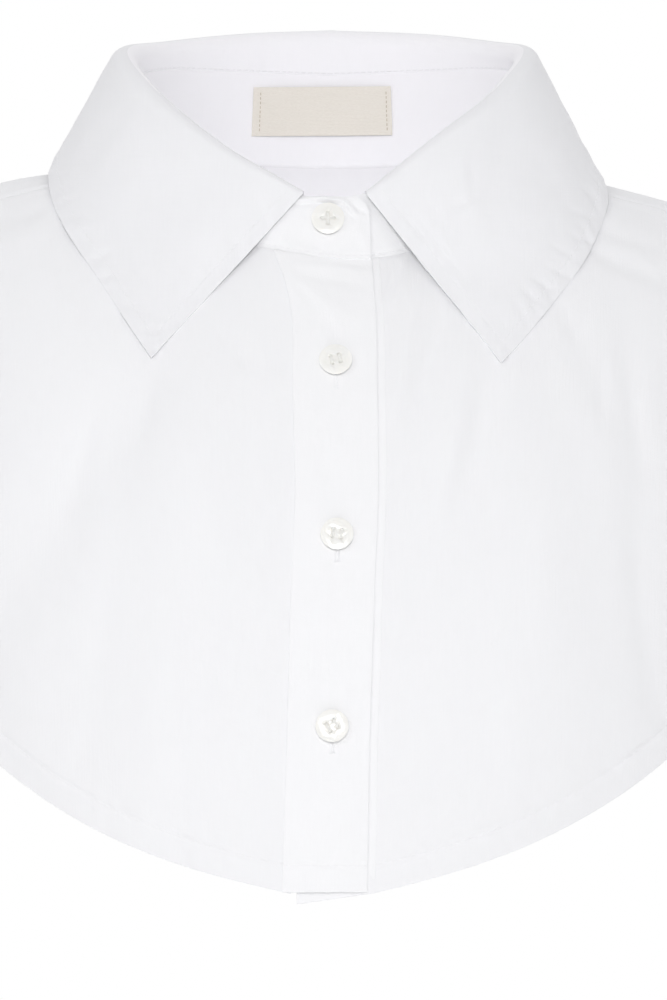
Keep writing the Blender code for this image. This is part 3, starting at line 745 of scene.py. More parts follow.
def cloth(name, points, wall, finish, node, u=None, v=None, rim=0.3, lit_inner_poplin=None):
    """A piece of cloth through a grid of points, which face out, with its wall inside."""
    rows, columns = points.shape[:2]
    u = lengths_along(points, 1) if u is None else u
    v = lengths_along(points, 0) if v is None else v
    deselect()
    bpy.ops.mesh.primitive_grid_add(
        x_subdivisions=columns - 1, y_subdivisions=rows - 1, size=1.0)
    piece = bpy.context.object
    piece.name = name
    mesh = piece.data
    mesh.name = name
    flat = np.empty(len(mesh.vertices) * 3)
    mesh.vertices.foreach_get("co", flat)
    flat = flat.reshape(-1, 3)
    i = np.rint((flat[:, 0] + 0.5) * (columns - 1)).astype(int)
    j = np.rint((0.5 - flat[:, 1]) * (rows - 1)).astype(int)
    mesh.vertices.foreach_set("co", (points[j, i] * MM).ravel())
    corners = np.empty(len(mesh.loops), int)
    mesh.loops.foreach_get("vertex_index", corners)
    places = np.stack([u[j, i][corners], v[j, i][corners]], -1) * MM
    while mesh.uv_layers:
        mesh.uv_layers.remove(mesh.uv_layers[0])
    mesh.uv_layers.new(name="cloth").data.foreach_set("uv", places.ravel())
    mesh.materials.append(finish)
    mesh.shade_smooth()
    solidify = piece.modifiers.new("thickness", "SOLIDIFY")
    solidify.thickness = wall * MM
    solidify.offset = -1.0
    solidify.use_quality_normals = True
    # Where given, the inner shell takes the brighter poplin copy: painted light on the shaded
    # inside.
    if lit_inner_poplin is not None:
        mesh.materials.append(lit_inner_poplin)
        solidify.material_offset = 1
    bevel = piece.modifiers.new("turned_edge", "BEVEL")
    bevel.width = rim * wall * MM
    bevel.segments = 2
    bevel.limit_method = "ANGLE"
    bevel.angle_limit = math.radians(50)
    finish_modifiers(piece)
    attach(piece, "root")
    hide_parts(node)
    print(name, len(piece.data.polygons), "faces,", wall, "mm wall")
    return piece


def grid_area(points):
    """Area of a grid of points in square metres."""
    a = points[1:, 1:] - points[:-1, :-1]
    b = points[1:, :-1] - points[:-1, 1:]
    return float(np.linalg.norm(np.cross(a, b), axis=-1).sum() / 2 * MM**2)


def declare(points):
    """Works out the area of a draped piece's grid in square metres, and does nothing with it."""
    area = grid_area(points)


# %% [markdown]
# ## Edges and seams
# A stitched edge shows as a shallow groove with small puckers along it. Both need the
# distance of every point of the cloth from the edge, and how far along the edge it lies.

# %% Distances from an edge
def edge_field(points, edge):
    """Distance of each point from an edge line, and how far along the line it lies."""
    fine = np.linspace(0, len(edge) - 1, len(edge) * 3)
    line = np.stack([np.interp(fine, np.arange(len(edge)), edge[:, k]) for k in range(3)], -1)
    along = lengths_along(line[None], 1)[0]
    flat = points.reshape(-1, 3)
    distance = np.empty(len(flat))
    nearest = np.empty(len(flat), int)
    for start in range(0, len(flat), 2000):
        part = flat[start:start + 2000]
        gaps = np.linalg.norm(part[:, None] - line[None], axis=-1)
        nearest[start:start + 2000] = gaps.argmin(1)
        distance[start:start + 2000] = gaps.min(1)
    shape = points.shape[:2]
    return distance.reshape(shape), along[nearest].reshape(shape)


def grid_normals(points):
    """Which way each point of a grid faces: columns run right and rows run down."""
    right = np.gradient(points, axis=1)
    down = np.gradient(points, axis=0)
    return unit(np.cross(down, right))


def seam_relief(distance, along, line, groove, pucker, pitch, seed):
    """Depth of a stitched groove at a distance from the edge, with puckers round it."""
    dip = -groove * np.exp(-(((distance - line) / 0.8) ** 2))
    slant = along + distance * 0.5
    wave = soft_noise(slant / pitch + 3, distance / 9 + 3, seed)
    ripple = pucker * wave * np.exp(-(((distance - line * 0.8) / (line * 0.75 + 1.5)) ** 2))
    return dip + ripple


def stitch_line(points, field, offset, other=None, across_rows=False):
    """Where an offset from an edge crosses each line of the grid, in order, with normals."""
    facing = grid_normals(points)
    grid = points if not across_rows else points.transpose(1, 0, 2)
    face = facing if not across_rows else facing.transpose(1, 0, 2)
    near = field if not across_rows else field.T
    keep = None if other is None else (other if not across_rows else other.T)
    path = []
    for k in range(grid.shape[0]):
        inside = near[k] >= offset
        turns = np.nonzero(inside[1:] != inside[:-1])[0]
        if len(turns) == 0:
            continue
        i = turns[0] if near[k][0] < near[k][-1] else turns[-1]
        share = (offset - near[k][i]) / (near[k][i + 1] - near[k][i])
        if keep is not None and keep[k][i] < offset:
            continue
        place = grid[k][i] * (1 - share) + grid[k][i + 1] * share
        path.append(np.concatenate([place, face[k][i]]))
    return np.array(path)


def even_steps(path, pitch):
    """Resamples a path of places and normals to even steps."""
    along = lengths_along(path[None, :, :3], 1)[0]
    count = max(int(along[-1] / pitch), 1)
    at = (np.arange(count) + 0.5) * along[-1] / count
    return np.stack([np.interp(at, along, path[:, k]) for k in range(path.shape[1])], -1)


# %% [markdown]
# ## Stitches
# A machine stitch is a short length of thread that comes up out of the cloth, lies on it
# and goes down again. One is modelled as a bent, six-sided tube. The rest are copies set
# along the seam and joined into one mesh.

# %% Making stitches
STITCH_SECTIONS = [(-0.5, -0.20, 0.55), (-0.40, 0.06, 0.95), (0.0, 0.16, 1.0),
                   (0.40, 0.06, 0.95), (0.5, -0.20, 0.55)]
STITCH_SIDES = 6


def stitch_mesh(name, places, length, radius):
    """Stitches at places: each row holds a place, a normal and a direction."""
    sections = []
    for along, height, size in STITCH_SECTIONS:
        turn = np.arange(STITCH_SIDES) * math.tau / STITCH_SIDES
        sections.append(np.stack([
            np.full(STITCH_SIDES, along * length),
            np.cos(turn) * radius * size,
            height * radius * 2 + np.sin(turn) * radius * size], -1))
    shape = np.concatenate(sections)
    count = len(shape)
    place = places[:, None, 0:3]
    up = unit(places[:, 3:6])
    run = places[:, 6:9]
    run = unit(run - up * (run * up).sum(-1, keepdims=True))
    side = np.cross(up, run)
    vertices = (place + run[:, None] * shape[None, :, 0:1]
                + side[:, None] * shape[None, :, 1:2] + up[:, None] * shape[None, :, 2:3])
    faces = []
    for ring in range(len(STITCH_SECTIONS) - 1):
        for k in range(STITCH_SIDES):
            a = ring * STITCH_SIDES + k
            b = ring * STITCH_SIDES + (k + 1) % STITCH_SIDES
            faces.append((a, a + STITCH_SIDES, b + STITCH_SIDES, b))
    caps = [tuple(range(STITCH_SIDES)), tuple(range(count - 1, count - 1 - STITCH_SIDES, -1))]
    everything = []
    for n in range(len(places)):
        everything += [tuple(v + n * count for v in face) for face in faces + caps]
    mesh = bpy.data.meshes.new(name)
    mesh.from_pydata((vertices.reshape(-1, 3) * MM).tolist(), [], everything)
    mesh.materials.append(thread)
    shape_check = bmesh.new()
    shape_check.from_mesh(mesh)
    bmesh.ops.recalc_face_normals(shape_check, faces=shape_check.faces)
    shape_check.to_mesh(mesh)
    shape_check.free()
    mesh.shade_smooth()
    piece = bpy.data.objects.new(name, mesh)
    bpy.context.scene.collection.objects.link(piece)
    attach(piece, "root")
    print(name, len(places), "stitches")
    return piece


def along_path(path, pitch=2.4):
    """Stitch places along a path: place, normal and direction."""
    steps = even_steps(path, pitch)
    run = np.gradient(steps[:, :3], axis=0) if len(steps) > 1 else np.array([[0, 0, -1.0]])
    return np.concatenate([steps, run], -1)


# %% [markdown]
# ## The two fronts
# Each front is one panel from the placket to the side. Its columns start close together
# at the neck seam and spread to the hem. The hem is turned in 9 mm and stitched, and the
# edge by the placket is tucked under the placket that lies on it.

# %% Placket edges and panel columns
PlacketEdge = namedtuple("PlacketEdge", "z left right")
PLACKET_EDGES = [
    PlacketEdge(-240, -16.4, 12.8),
    PlacketEdge(-226, -16.0, 13.0),
    PlacketEdge(-190, -14.9, 13.6),
    PlacketEdge(-135, -13.4, 15.3),
    PlacketEdge(-100, -12.0, 16.6),
    PlacketEdge(-66, -12.8, 16.3),
    PlacketEdge(-35, -13.6, 15.7),
    PlacketEdge(-26, -15.5, 15.0),
    PlacketEdge(-16, -19.2, 14.3),
]
FRONT_TUCK_LIFT = 1.0
FRONT_TUCK = 3.0
UNDER_SHOWS = 2.8
HEM_DEPTH = 9.3
SIDE_HEM = 6.5
PANEL_WALL = 0.7
SHOULDER_RIDGE = 0.4
SHOULDER_LAP = 0.5


def placket_edge(t, side):
    """The outer placket's left or right edge at a row of the front."""
    return column(PLACKET_EDGES, side, front_surface(np.zeros_like(t), t)[..., 2])


def side_x(t):
    return SIDE_TOP_X + (SIDE_HEM_X - SIDE_TOP_X) * t + SIDE_BULGE * np.sin(math.pi * t)


def panel_columns(inner_x, count):
    """Top distances and hem shares of a panel's columns, closer together at the side."""
    at = np.linspace(0, 18, count + 1)
    start = math.asin(inner_x / NECK_HALF_WIDTH)
    angle = start + (math.pi / 2 - start) * np.minimum(at / 8, 1)
    even = np.clip((at - 8) / 10, 0, 1)
    share = (even + np.sin(even * math.pi / 2)) / 2
    top = np.where(at <= 8, NECK_HALF_WIDTH * np.sin(angle),
                   NECK_HALF_WIDTH + (SIDE_TOP_X - NECK_HALF_WIDTH) * share)
    hem = np.where(at <= 8, at, 8 + 10 * share) / 18
    return top, hem


def column_x(top_x, share, inner_x, t):
    """A column's distance from the centre, from its top place to its even hem place."""
    outer_x = side_x(t)
    even_x = inner_x + (outer_x - inner_x) * share
    spread = np.clip(top_x - 100, 0, None) / (SIDE_TOP_X - 100)
    top_x = top_x + (outer_x - SIDE_TOP_X) * spread
    return top_x + (even_x - top_x) * smooth_step(t / 0.625)


def panel_rows(even, close):
    """Values of t, closer together over the hem."""
    return np.concatenate([np.linspace(0, 0.94, even), np.linspace(0.94, 1, close)[1:]])


def front_panel(side, edge, edge_x, lift_at_edge):
    """Grid of one front, from under its placket to its side edge."""
    t = panel_rows(112, 20)[:, None]
    inner_now = np.abs(placket_edge(t, edge)) + edge_x
    inner_x = float(inner_now[0, 0])
    top_x, share = panel_columns(inner_x, 110)
    x = column_x(top_x[None], share[None], inner_x, t)
    x = x + (inner_now - inner_x) * (1 - smooth_step((x - inner_x) / 60))
    lift = lift_at_edge * (1 - smooth_step((x - inner_now - FRONT_TUCK) / 14))
    return draped_front(side * x, np.broadcast_to(t, x.shape), lift), side * x


def hemmed(points, seed, sides):
    """Presses the stitched grooves and puckers of the hem and the side edges into a
    panel, and the ridge of the shoulder seam; sides gives the side edges' columns."""
    facing = grid_normals(points)
    above = edge_field(points, points[0])[0]
    shoulder_only = smooth_step((np.abs(points[..., 0]) - 72) / 8)
    ridge = SHOULDER_RIDGE * np.exp(-(((above - 1.9) / 1.2) ** 2)) * shoulder_only
    below = edge_field(points, points[-1])
    relief = seam_relief(*below, HEM_DEPTH, 0.3, 0.3, 3.4, seed)
    relief = relief * smooth_step((30 - below[0]) / 10) + ridge
    fields = [below[0]]
    for side in sides:
        aside = edge_field(points, points[:, side])
        dip = seam_relief(*aside, SIDE_HEM, 0.25, 0.2, 3.8, seed + 1)
        relief = relief + dip * smooth_step((20 - aside[0]) / 8)
        fields.append(aside[0])
    pressed = points + facing * relief[..., None]
    reach = unit(points[0] - points[1]) * shoulder_only[0][:, None]
    pressed[0] += reach * SHOULDER_LAP
    return pressed, fields


def arc_u(x):
    """Distance round the body at x, so that the threads hang upright."""
    at = np.linspace(-168, 168, 500)
    depth = body_depth(FRONT_DEPTH, at)
    run = np.concatenate([[0], np.cumsum(np.hypot(np.diff(at), np.diff(depth)))])
    return np.interp(x, at, run)


# %% Front panels
right_grid, right_x = front_panel(-1, "left", -FRONT_TUCK, FRONT_TUCK_LIFT)
right_x = right_x[:, ::-1]
right_grid, right_fields = hemmed(right_grid[:, ::-1], 21, (0,))
front_right = cloth("front_right_cloth", right_grid, PANEL_WALL, poplin, "front_right",
                    u=arc_u(right_x))
declare(right_grid)

left_grid, left_x = front_panel(1, "right", UNDER_SHOWS - 2.0, 0.0)
left_grid, left_fields = hemmed(left_grid, 31, (-1,))
front_left = cloth("front_left_cloth", left_grid, PANEL_WALL, poplin, "front_left",
                   u=arc_u(left_x))
declare(left_grid)

# %% [markdown]
# ## The back
# The back is one panel from side to side. It is a little shorter than the front.

# %% Back panel
half_top, half_share = panel_columns(0.0, 84)
top_x = np.concatenate([-half_top[:0:-1], half_top])
share = np.concatenate([half_share[:0:-1], half_share])
back_t = panel_rows(100, 20)[:, None] ** 1.15
back_x = np.sign(top_x)[None] * column_x(np.abs(top_x)[None], share[None], 0.0, back_t)
back_grid = draped_back(back_x, np.broadcast_to(back_t, back_x.shape))[:, ::-1]
back_grid, back_fields = hemmed(back_grid, 41, (0, -1))
# The back's inner face is the brighter poplin copy: painted light inside the neck.
back = cloth("back_cloth", back_grid, PANEL_WALL, poplin, "back",
             u=arc_u(back_x[:, ::-1]), lit_inner_poplin=lit_inner_poplin)
declare(back_grid)

# %% [markdown]
# ## The plackets
# The wearer's right front ends in a folded strip, which lies over the folded edge of the
# left front. The lower strip shows as a narrow band beside the upper one and, being
# longer, as a second edge below its hem.

# %% Placket strips
PLACKET_WALL = 0.5
TOP_PLACKET_LIFTS = (1.5, 0.75)
UNDER_PLACKET_LIFTS = (0.2, 0.05)
TOP_PLACKET_END = (-234.4, -234.4)
UNDER_PLACKET_END = (-238.5, -234.6)
UNDER_LEFT_X = -11.4
PLACKET_CREASES = [
    Fold(-13.0, -21.5, 13.5, -26.5, 2.0, -0.40),
    Fold(-11.0, -18.6, 14.0, -20.6, 1.6, 0.25),
    Fold(2.0, -18.4, 21.0, -19.6, 1.3, -0.30),
    Fold(-11.4, -26.6, -4.5, -32.8, 1.8, -0.50),
    Fold(-4.5, -32.8, 3.4, -46.6, 2.6, -0.40),
    Fold(-8.0, -28.5, 7.0, -37.0, 4.0, 0.45),
    Fold(-14.0, -16.0, -12.0, -30.0, 2.5, 0.40),
    Fold(-6.0, -80.0, 6.0, -98.0, 6.0, -0.30),
    Fold(9.0, -120.0, 3.0, -150.0, 5.0, -0.28),
    Fold(-9.0, -140.0, -7.0, -172.0, 4.0, 0.25),
]


def placket_lift(x):
    """The outer placket's lift at x, between its two edges."""
    share = (x + 14.0) / 29.0
    return TOP_PLACKET_LIFTS[0] * (1 - share) + TOP_PLACKET_LIFTS[1] * share


def strip(left_of, right_of, lifts, ends, columns=30, rows=200):
    """Grid of a placket between two edges, down the front to its own end."""
    share = np.linspace(0, 1, columns + 1)[None]
    one = np.ones(1)
    foot_x = left_of(one) * (1 - share) + right_of(one) * share
    end = front_t_at(foot_x, ends[0] * (1 - share) + ends[1] * share)
    t = end * panel_rows(rows - 20, 21)[:, None]
    x = left_of(t) * (1 - share) + right_of(t) * share
    lift = lifts[0] * (1 - share) + lifts[1] * share
    return draped_front(x, t, np.broadcast_to(lift, x.shape)), x


top_placket, _ = strip(lambda t: placket_edge(t, "left"), lambda t: placket_edge(t, "right"),
                       TOP_PLACKET_LIFTS, TOP_PLACKET_END)
crease = fold_depth(PLACKET_CREASES, top_placket[..., 0], top_placket[..., 2])
ripple = soft_noise(top_placket[..., 0] / 7 + 4, top_placket[..., 2] / 16 + 40, 5)
crease = crease + ripple * 0.12
placket_hem = edge_field(top_placket, top_placket[-1])
crease = crease + seam_relief(*placket_hem, HEM_DEPTH, 0.3, 0.12, 3.0, 6)
top_placket = top_placket + grid_normals(top_placket) * crease[..., None]
placket_top = cloth("placket_top_cloth", top_placket, PLACKET_WALL, double_poplin,
                    "placket_top")
declare(top_placket)

under_placket, _ = strip(lambda t: np.full_like(t, UNDER_LEFT_X),
                         lambda t: placket_edge(t, "right") + UNDER_SHOWS,
                         UNDER_PLACKET_LIFTS, UNDER_PLACKET_END)
placket_under = cloth("placket_under_cloth", under_placket, PLACKET_WALL, double_poplin,
                      "placket_under")
declare(under_placket)

# %% [markdown]
# ## The collar stand
# The stand is a stiff band round the neck. The wearer's right end laps over the left one
# and buttons there, and both ends are rounded off at the top. Its lower edge is stitched
# down over the neck seam.

# %% Stand
STAND_TOP_HALF_WIDTH = 66.5
STAND_TOP_DEPTH = 51.0
StandTop = namedtuple("StandTop", "angle z")
STAND_TOP = [
    StandTop(0, 4.6),
    StandTop(8, 5.0),
    StandTop(15, 8.0),
    StandTop(30, 17.0),
    StandTop(45, 27.0),
    StandTop(60, 35.5),
    StandTop(75, 42.0),
    StandTop(90, 46.0),
    StandTop(120, 49.6),
    StandTop(150, 49.2),
    StandTop(180, 48.0),
]
COLLAR_WALL = 1.5
STAND_WALL = 1.0
STAND_LAP_ANGLE = 11.4
STAND_LAP_LIFT = STAND_WALL + 0.3
STAND_LAP_EASE = 24.0
STAND_END_ROUNDING = 6.5
STAND_END_DROP = 0.36


def outward(degrees):
    """The level direction away from the neck at an angle round it."""
    a = np.radians(degrees)
    return xyz(np.sin(a), -np.cos(a), 0)


def lap_lift(degrees):
    """How far the stand is moved out where its upper end laps over the lower one."""
    return STAND_LAP_LIFT * (1 - smooth_step((-degrees - STAND_LAP_ANGLE) / STAND_LAP_EASE))


def stand_ring(degrees):
    a = np.radians(degrees)
    return xyz(STAND_TOP_HALF_WIDTH * np.sin(a), -STAND_TOP_DEPTH * np.cos(a), 0)


def stand_point(degrees, height, lift):
    """A point of the stand's outer face; height runs from 0 at the neck seam to 1."""
    wrapped = (degrees + 180) % 360 - 180
    bottom = neck_seam(np.radians(wrapped))
    top = stand_ring(wrapped)
    top[..., 2] = column(STAND_TOP, "z", np.abs(wrapped))
    height = np.asarray(height)[..., None]
    point = bottom + (top - bottom) * height + outward(wrapped) * np.asarray(lift)[..., None]
    near = np.where(np.abs(wrapped) < 90, 1.0, 0.0)
    point[..., 2] += seam_shift(point[..., 0], height[..., 0]) * near
    return point


STAND_FOLDS = [
    Fold(-12.5, 3.4, -3.2, 3.9, 1.0, 0.9),
    Fold(-3.2, 3.9, 4.8, 2.9, 1.0, 1.3),
    Fold(4.8, 2.9, 9.0, -1.6, 1.1, 0.9),
    Fold(-11.5, 1.9, -4.0, 2.5, 0.8, -0.7),
    Fold(-4.0, 2.6, 4.2, 1.6, 0.8, -0.9),
    Fold(4.2, 1.6, 8.0, -3.2, 0.8, -0.7),
    Fold(7.5, 1.5, 12.0, -1.0, 1.1, -0.45),
    Fold(9.0, -6.0, 13.0, -13.0, 2.4, 0.35),
    Fold(-14.0, -8.0, -4.0, -12.5, 2.6, -0.30),
]
SEAM_STITCH = 1.1
sweep = 360 + 2 * STAND_LAP_ANGLE
ease = STAND_END_ROUNDING * (1 - np.cos(np.linspace(0, math.pi / 2, 16)))
close = np.linspace(STAND_END_ROUNDING, 50, 75)
around_neck = np.linspace(50, sweep - 50, 190)
turned = np.concatenate([ease[:-1], close[:-1], around_neck, (sweep - close)[-2::-1],
                         (sweep - ease)[-2::-1]])
from_end = np.minimum(np.minimum(turned, sweep - turned), STAND_END_ROUNDING)
past = 1 - from_end / STAND_END_ROUNDING
full = 1 - STAND_END_DROP * (1 - np.sqrt(1 - past**2))
angles = (STAND_LAP_ANGLE - turned)[None]
height = np.linspace(0, 1, 33)[:, None] * full[None]
lift = np.broadcast_to(lap_lift(angles) + 0.2, height.shape)
stand_points = stand_point(np.broadcast_to(angles, height.shape), height, lift)
low_edge, seam_along = edge_field(stand_points, stand_points[0])
relief = seam_relief(low_edge, seam_along, SEAM_STITCH, 0.22, 0.14, 3.2, 51)
relief += soft_noise(seam_along / 21 + 8, low_edge / 15 + 8, 52) * 0.18
upper_end = np.where(turned[None] < 40, 1.0, 0.0)
relief += fold_depth(STAND_FOLDS, stand_points[..., 0], stand_points[..., 2]) * upper_end
stand_facing = grid_normals(stand_points)
stand_facing *= np.sign((stand_facing * outward(angles)).sum(-1))[..., None]
stand_points = stand_points + stand_facing * relief[..., None]
# The stand's inner face is the brighter poplin copy: painted light inside the neck.
collar_stand = cloth("collar_stand_cloth", stand_points, STAND_WALL, double_poplin,
                     "collar_stand", lit_inner_poplin=lit_inner_poplin)
declare(stand_points)

# %% [markdown]
# ## The collar fall
# The fall starts on the stand's top edge, rises a little, rolls over and comes down as
# two leaves. Each section of it is a short rise, an arc and a long soft curve to the
# free edge, from a table that runs from the front edge round to the back.

# %% Sections of the fall
RollTop = namedtuple("RollTop", "angle z")
ROLL_BACK = [RollTop(90, 55.8), RollTop(102, 57.6), RollTop(125, 59.4), RollTop(150, 62.1),
             RollTop(180, 63.7)]
ROLL_TOP = {
    -1: [RollTop(0, 1.6), RollTop(7.8, 6.4), RollTop(17.5, 13.1), RollTop(28, 19.9),
         RollTop(38.7, 27.8), RollTop(51, 37.0), RollTop(69, 48.2)] + ROLL_BACK,
    1: [RollTop(0, 0.0), RollTop(10.4, 6.4), RollTop(19.1, 14.5), RollTop(28.6, 23.1),
        RollTop(39, 31.1), RollTop(51.4, 38.9), RollTop(67, 48.2)] + ROLL_BACK,
}
LEAF_ARC_END = 28.0
FALL_SEAM_LAP = 1.2
FRONT_SEAM_LAP = {-1: 0.4, 1: 2.2}
LEAF_CLEARANCE = 0.22
LEAF_WALL = 0.8
SHOULDER_ROW = 3
LeafRow = namedtuple("LeafRow", "seam roll radius lean edge_x edge_y edge_z lift")
LEAF_ROWS = {
    -1: [
        LeafRow(8.4, 7.8, 1.9, 0.0, 61.5, None, -51.0, 8.0),
        LeafRow(20.0, 20.0, 2.9, 0.8, 69.5, None, -39.5, 7.0),
        LeafRow(36.0, 36.0, 4.0, 1.6, 80.0, None, -23.5, 5.0),
        LeafRow(54.0, 54.0, 4.8, 2.0, 90.5, None, -8.0, 8.0),
        LeafRow(73.0, 73.0, 5.0, 1.8, 97.2, -19.5, 7.2, 0),
        LeafRow(92.0, 92.0, 5.0, 1.4, 95.0, 2.0, 17.6, 0),
        LeafRow(112.0, 112.0, 5.0, 1.4, 86.0, 30.0, 13.0, 0),
        LeafRow(134.0, 134.0, 5.0, 1.4, 67.0, 53.0, 7.0, 0),
        LeafRow(157.0, 157.0, 5.0, 1.4, 37.0, 66.5, 4.6, 0),
        LeafRow(180.0, 180.0, 5.0, 1.4, 0.0, 71.0, 4.0, 0),
    ],
    1: [
        LeafRow(13.6, 10.4, 2.8, 0.0, 59.0, None, -52.5, 7.0),
        LeafRow(22.0, 21.0, 3.2, 0.4, 67.5, None, -43.5, 6.0),
        LeafRow(36.0, 36.0, 4.0, 0.6, 79.0, None, -29.5, 5.2),
        LeafRow(54.0, 54.0, 4.6, 0.0, 89.0, None, -15.5, 7.6),
        LeafRow(73.0, 73.0, 4.6, -1.0, 95.8, -21.0, 2.8, 0),
        LeafRow(92.0, 92.0, 4.6, -1.4, 92.4, 0.0, 14.4, 0),
        LeafRow(112.0, 112.0, 4.8, -0.6, 84.0, 30.0, 11.5, 0),
        LeafRow(134.0, 134.0, 5.0, 0.6, 66.5, 53.0, 6.5, 0),
        LeafRow(157.0, 157.0, 5.0, 1.4, 37.0, 66.5, 4.6, 0),
        LeafRow(180.0, 180.0, 5.0, 1.4, 0.0, 71.0, 4.0, 0),
    ],
}
SECTIONS = 200
FRONT_CLOSER = 1.2
FRONT_EDGE_PULL = 2.6


def leaf_edge(side):
    """The free edge's points, with those that lie on the front placed clear of it."""
    edge = []
    for row in LEAF_ROWS[side]:
        x = side * row.edge_x
        y = row.edge_y
        if y is None:
            t = front_t_at(np.array(x), row.edge_z)
            y = draped_front(np.array(x), t)[1] - row.lift * LEAF_CLEARANCE
        edge.append((x, y, row.edge_z))
    return np.array(edge)


def fall_half(side, count, rise_steps=7, arc_steps=14, leaf_steps=66):
    """Sections of one half of the fall, from its front edge to the middle of the back."""
    share = np.linspace(0, 1, count) ** FRONT_CLOSER
    places = np.linspace(0, 1, len(LEAF_ROWS[side]))

    def value(name):
        return curve(places, [getattr(row, name) for row in LEAF_ROWS[side]], share)

    seam = side * value("seam")
    roll = side * value("roll")
    radius = value("radius")[:, None]
    edge = leaf_edge(side)
    edge = np.stack([curve(places, edge[:, k], share) for k in range(3)], -1)
    front = draped_front(edge[:, 0], front_t_at(edge[:, 0], edge[:, 2]))[:, 1]
    free = smooth_step(share * (len(places) - 1) - SHOULDER_ROW)
    edge[:, 1] = edge[:, 1] * free + (front - value("lift") * LEAF_CLEARANCE) * (1 - free)
    lift = lap_lift(seam) if side < 0 else np.zeros(count)
    foot = stand_point(seam, np.ones(count), lift + STAND_WALL - LEAF_WALL - 0.2)
    foot[:, 2] -= FALL_SEAM_LAP + FRONT_SEAM_LAP[side] * (1 - smooth_step(share / 0.12))
    out = outward(roll)
    inner = stand_ring(roll) + out * (lift - COLLAR_WALL + value("lean"))[:, None]
    top = np.maximum(column(ROLL_TOP[side], "z", np.abs(roll)), foot[:, 2] + radius[:, 0])
    centre = inner + out * radius
    centre[:, 2] = top - radius[:, 0]
    sections = []
    for i in range(rise_steps):
        sections.append(foot + (centre - out * radius - foot) * (i / rise_steps))
    up = np.array((0, 0, 1.0))
    for i in range(arc_steps + 1):
        turn = math.radians(180 - (180 - LEAF_ARC_END) * i / arc_steps)
        sections.append(centre + (out * math.cos(turn) + up * math.sin(turn)) * radius)
    last = sections[-1]
    end = math.radians(LEAF_ARC_END)
    leave = out * math.sin(end) - up * math.cos(end)
    direct = unit(edge - last)
    leave = direct + (leave - direct) * smooth_step(share / 0.2)[:, None]
    reach = np.linalg.norm(edge - last, axis=-1, keepdims=True)
    near = last + leave * reach * 0.3
    far = edge + (last - edge) * 0.35
    pulled = xyz(0, FRONT_EDGE_PULL * (1 - smooth_step(share / 0.25)), 0)
    near = near + pulled
    far = far + pulled
    steps = 1 - (1 - np.linspace(0, 1, leaf_steps + 1)[1:]) ** 1.25
    for step in steps:
        sections.append(bezier(last, near, far, edge, np.full(count, step)))
    return np.stack(sections, 1)


fall_right = fall_half(-1, SECTIONS)
fall_left = fall_half(1, SECTIONS)
fall_points = np.concatenate([fall_right, fall_left[-2::-1]])

# %% [markdown]
# ## Stitching and creasing the leaves
# The leaves are pressed flat but keep small creases, mostly at right angles to their
# outer edges, and the topstitching 5 mm in draws up fine puckers. The relief is worked out
# from the distance to the free edge and to both front edges.

# %% Leaf relief
TOPSTITCH = 5.0
LEAF_CREASES = [
    Fold(-82.0, -17.5, -75.5, -14.0, 1.8, -0.6),
    Fold(-58.0, 26.0, -64.0, -6.0, 7.0, -0.5),
    Fold(-36.0, 10.0, -48.0, -22.0, 6.0, 0.45),
    Fold(-26.0, 4.0, -24.0, -8.0, 3.0, -0.4),
    Fold(-42.0, -22.0, -47.0, -32.0, 3.2, -0.45),
    Fold(-70.0, 30.0, -82.0, 8.0, 6.0, 0.5),
    Fold(-88.0, -2.0, -80.0, -8.0, 3.0, 0.4),
    Fold(-60.0, -38.0, -62.0, -46.0, 2.6, -0.35),
    Fold(62.0, 34.0, 54.0, 6.0, 6.0, -0.6),
    Fold(44.0, 16.0, 52.0, -10.0, 5.0, 0.45),
    Fold(34.0, 8.0, 38.0, -8.0, 3.0, -0.45),
    Fold(87.0, 8.0, 93.0, 3.0, 1.8, -0.5),
    Fold(83.0, 0.0, 91.5, -3.0, 1.8, -0.5),
    Fold(82.8, -8.0, 89.7, -11.0, 1.5, -0.45),
    Fold(77.0, -12.0, 85.5, -17.3, 1.6, -0.5),
    Fold(74.9, -19.0, 82.3, -22.8, 1.4, -0.4),
    Fold(70.0, -23.5, 78.8, -27.9, 1.6, -0.45),
    Fold(67.3, -27.6, 73.6, -33.0, 1.5, -0.4),
    Fold(23.5, 1.7, 34.5, -12.1, 1.5, -0.35),
    Fold(29.3, -1.7, 48.3, -25.9, 1.8, -0.35),
    Fold(38.0, -5.2, 42.1, -17.9, 1.8, 0.35),
    Fold(48.6, 17.3, 50.0, 5.2, 2.2, -0.5),
    Fold(50.0, 5.2, 42.1, 0.0, 2.0, -0.45),
    Fold(58.0, -36.0, 60.0, -47.0, 3.2, -0.4),
    Fold(46.0, -22.0, 50.0, -34.0, 4.0, 0.4),
    Fold(76.0, 26.0, 84.0, 6.0, 6.0, 0.5),
]
free_edge = edge_field(fall_points, fall_points[:, -1])
right_front = edge_field(fall_points, fall_points[0])
left_front = edge_field(fall_points, fall_points[-1])
relief = np.zeros(fall_points.shape[:2])
for seed, (distance, along) in enumerate((free_edge, right_front, left_front)):
    strip_relief = seam_relief(distance, along, TOPSTITCH, 0.0, 0.36, 3.0, 61 + seed)
    relief += strip_relief * smooth_step((16 - distance) / 6)
nearest = np.minimum(np.minimum(free_edge[0], right_front[0]), left_front[0])
relief -= 0.09 * np.exp(-(((nearest - TOPSTITCH) / 0.6) ** 2))
on_leaf = smooth_step((np.arange(fall_points.shape[1]) - 22) / 8.0)[None]
in_front = smooth_step(-fall_points[..., 1] / 12)
creases = fold_depth(LEAF_CREASES, fall_points[..., 0], fall_points[..., 2]) * in_front
around = lengths_along(fall_points, 0)
down = lengths_along(fall_points, 1)
creases += soft_noise(around / 17 + 3, down / 19 + 3, 71) * 0.4
creases += soft_noise(around / 6 + 3, down / 9 + 3, 72) * 0.1
relief = (relief + creases) * on_leaf + soft_noise(around / 23 + 2, down / 40 + 2, 73) * 0.2
fall_points = fall_points + grid_normals(fall_points) * relief[..., None]
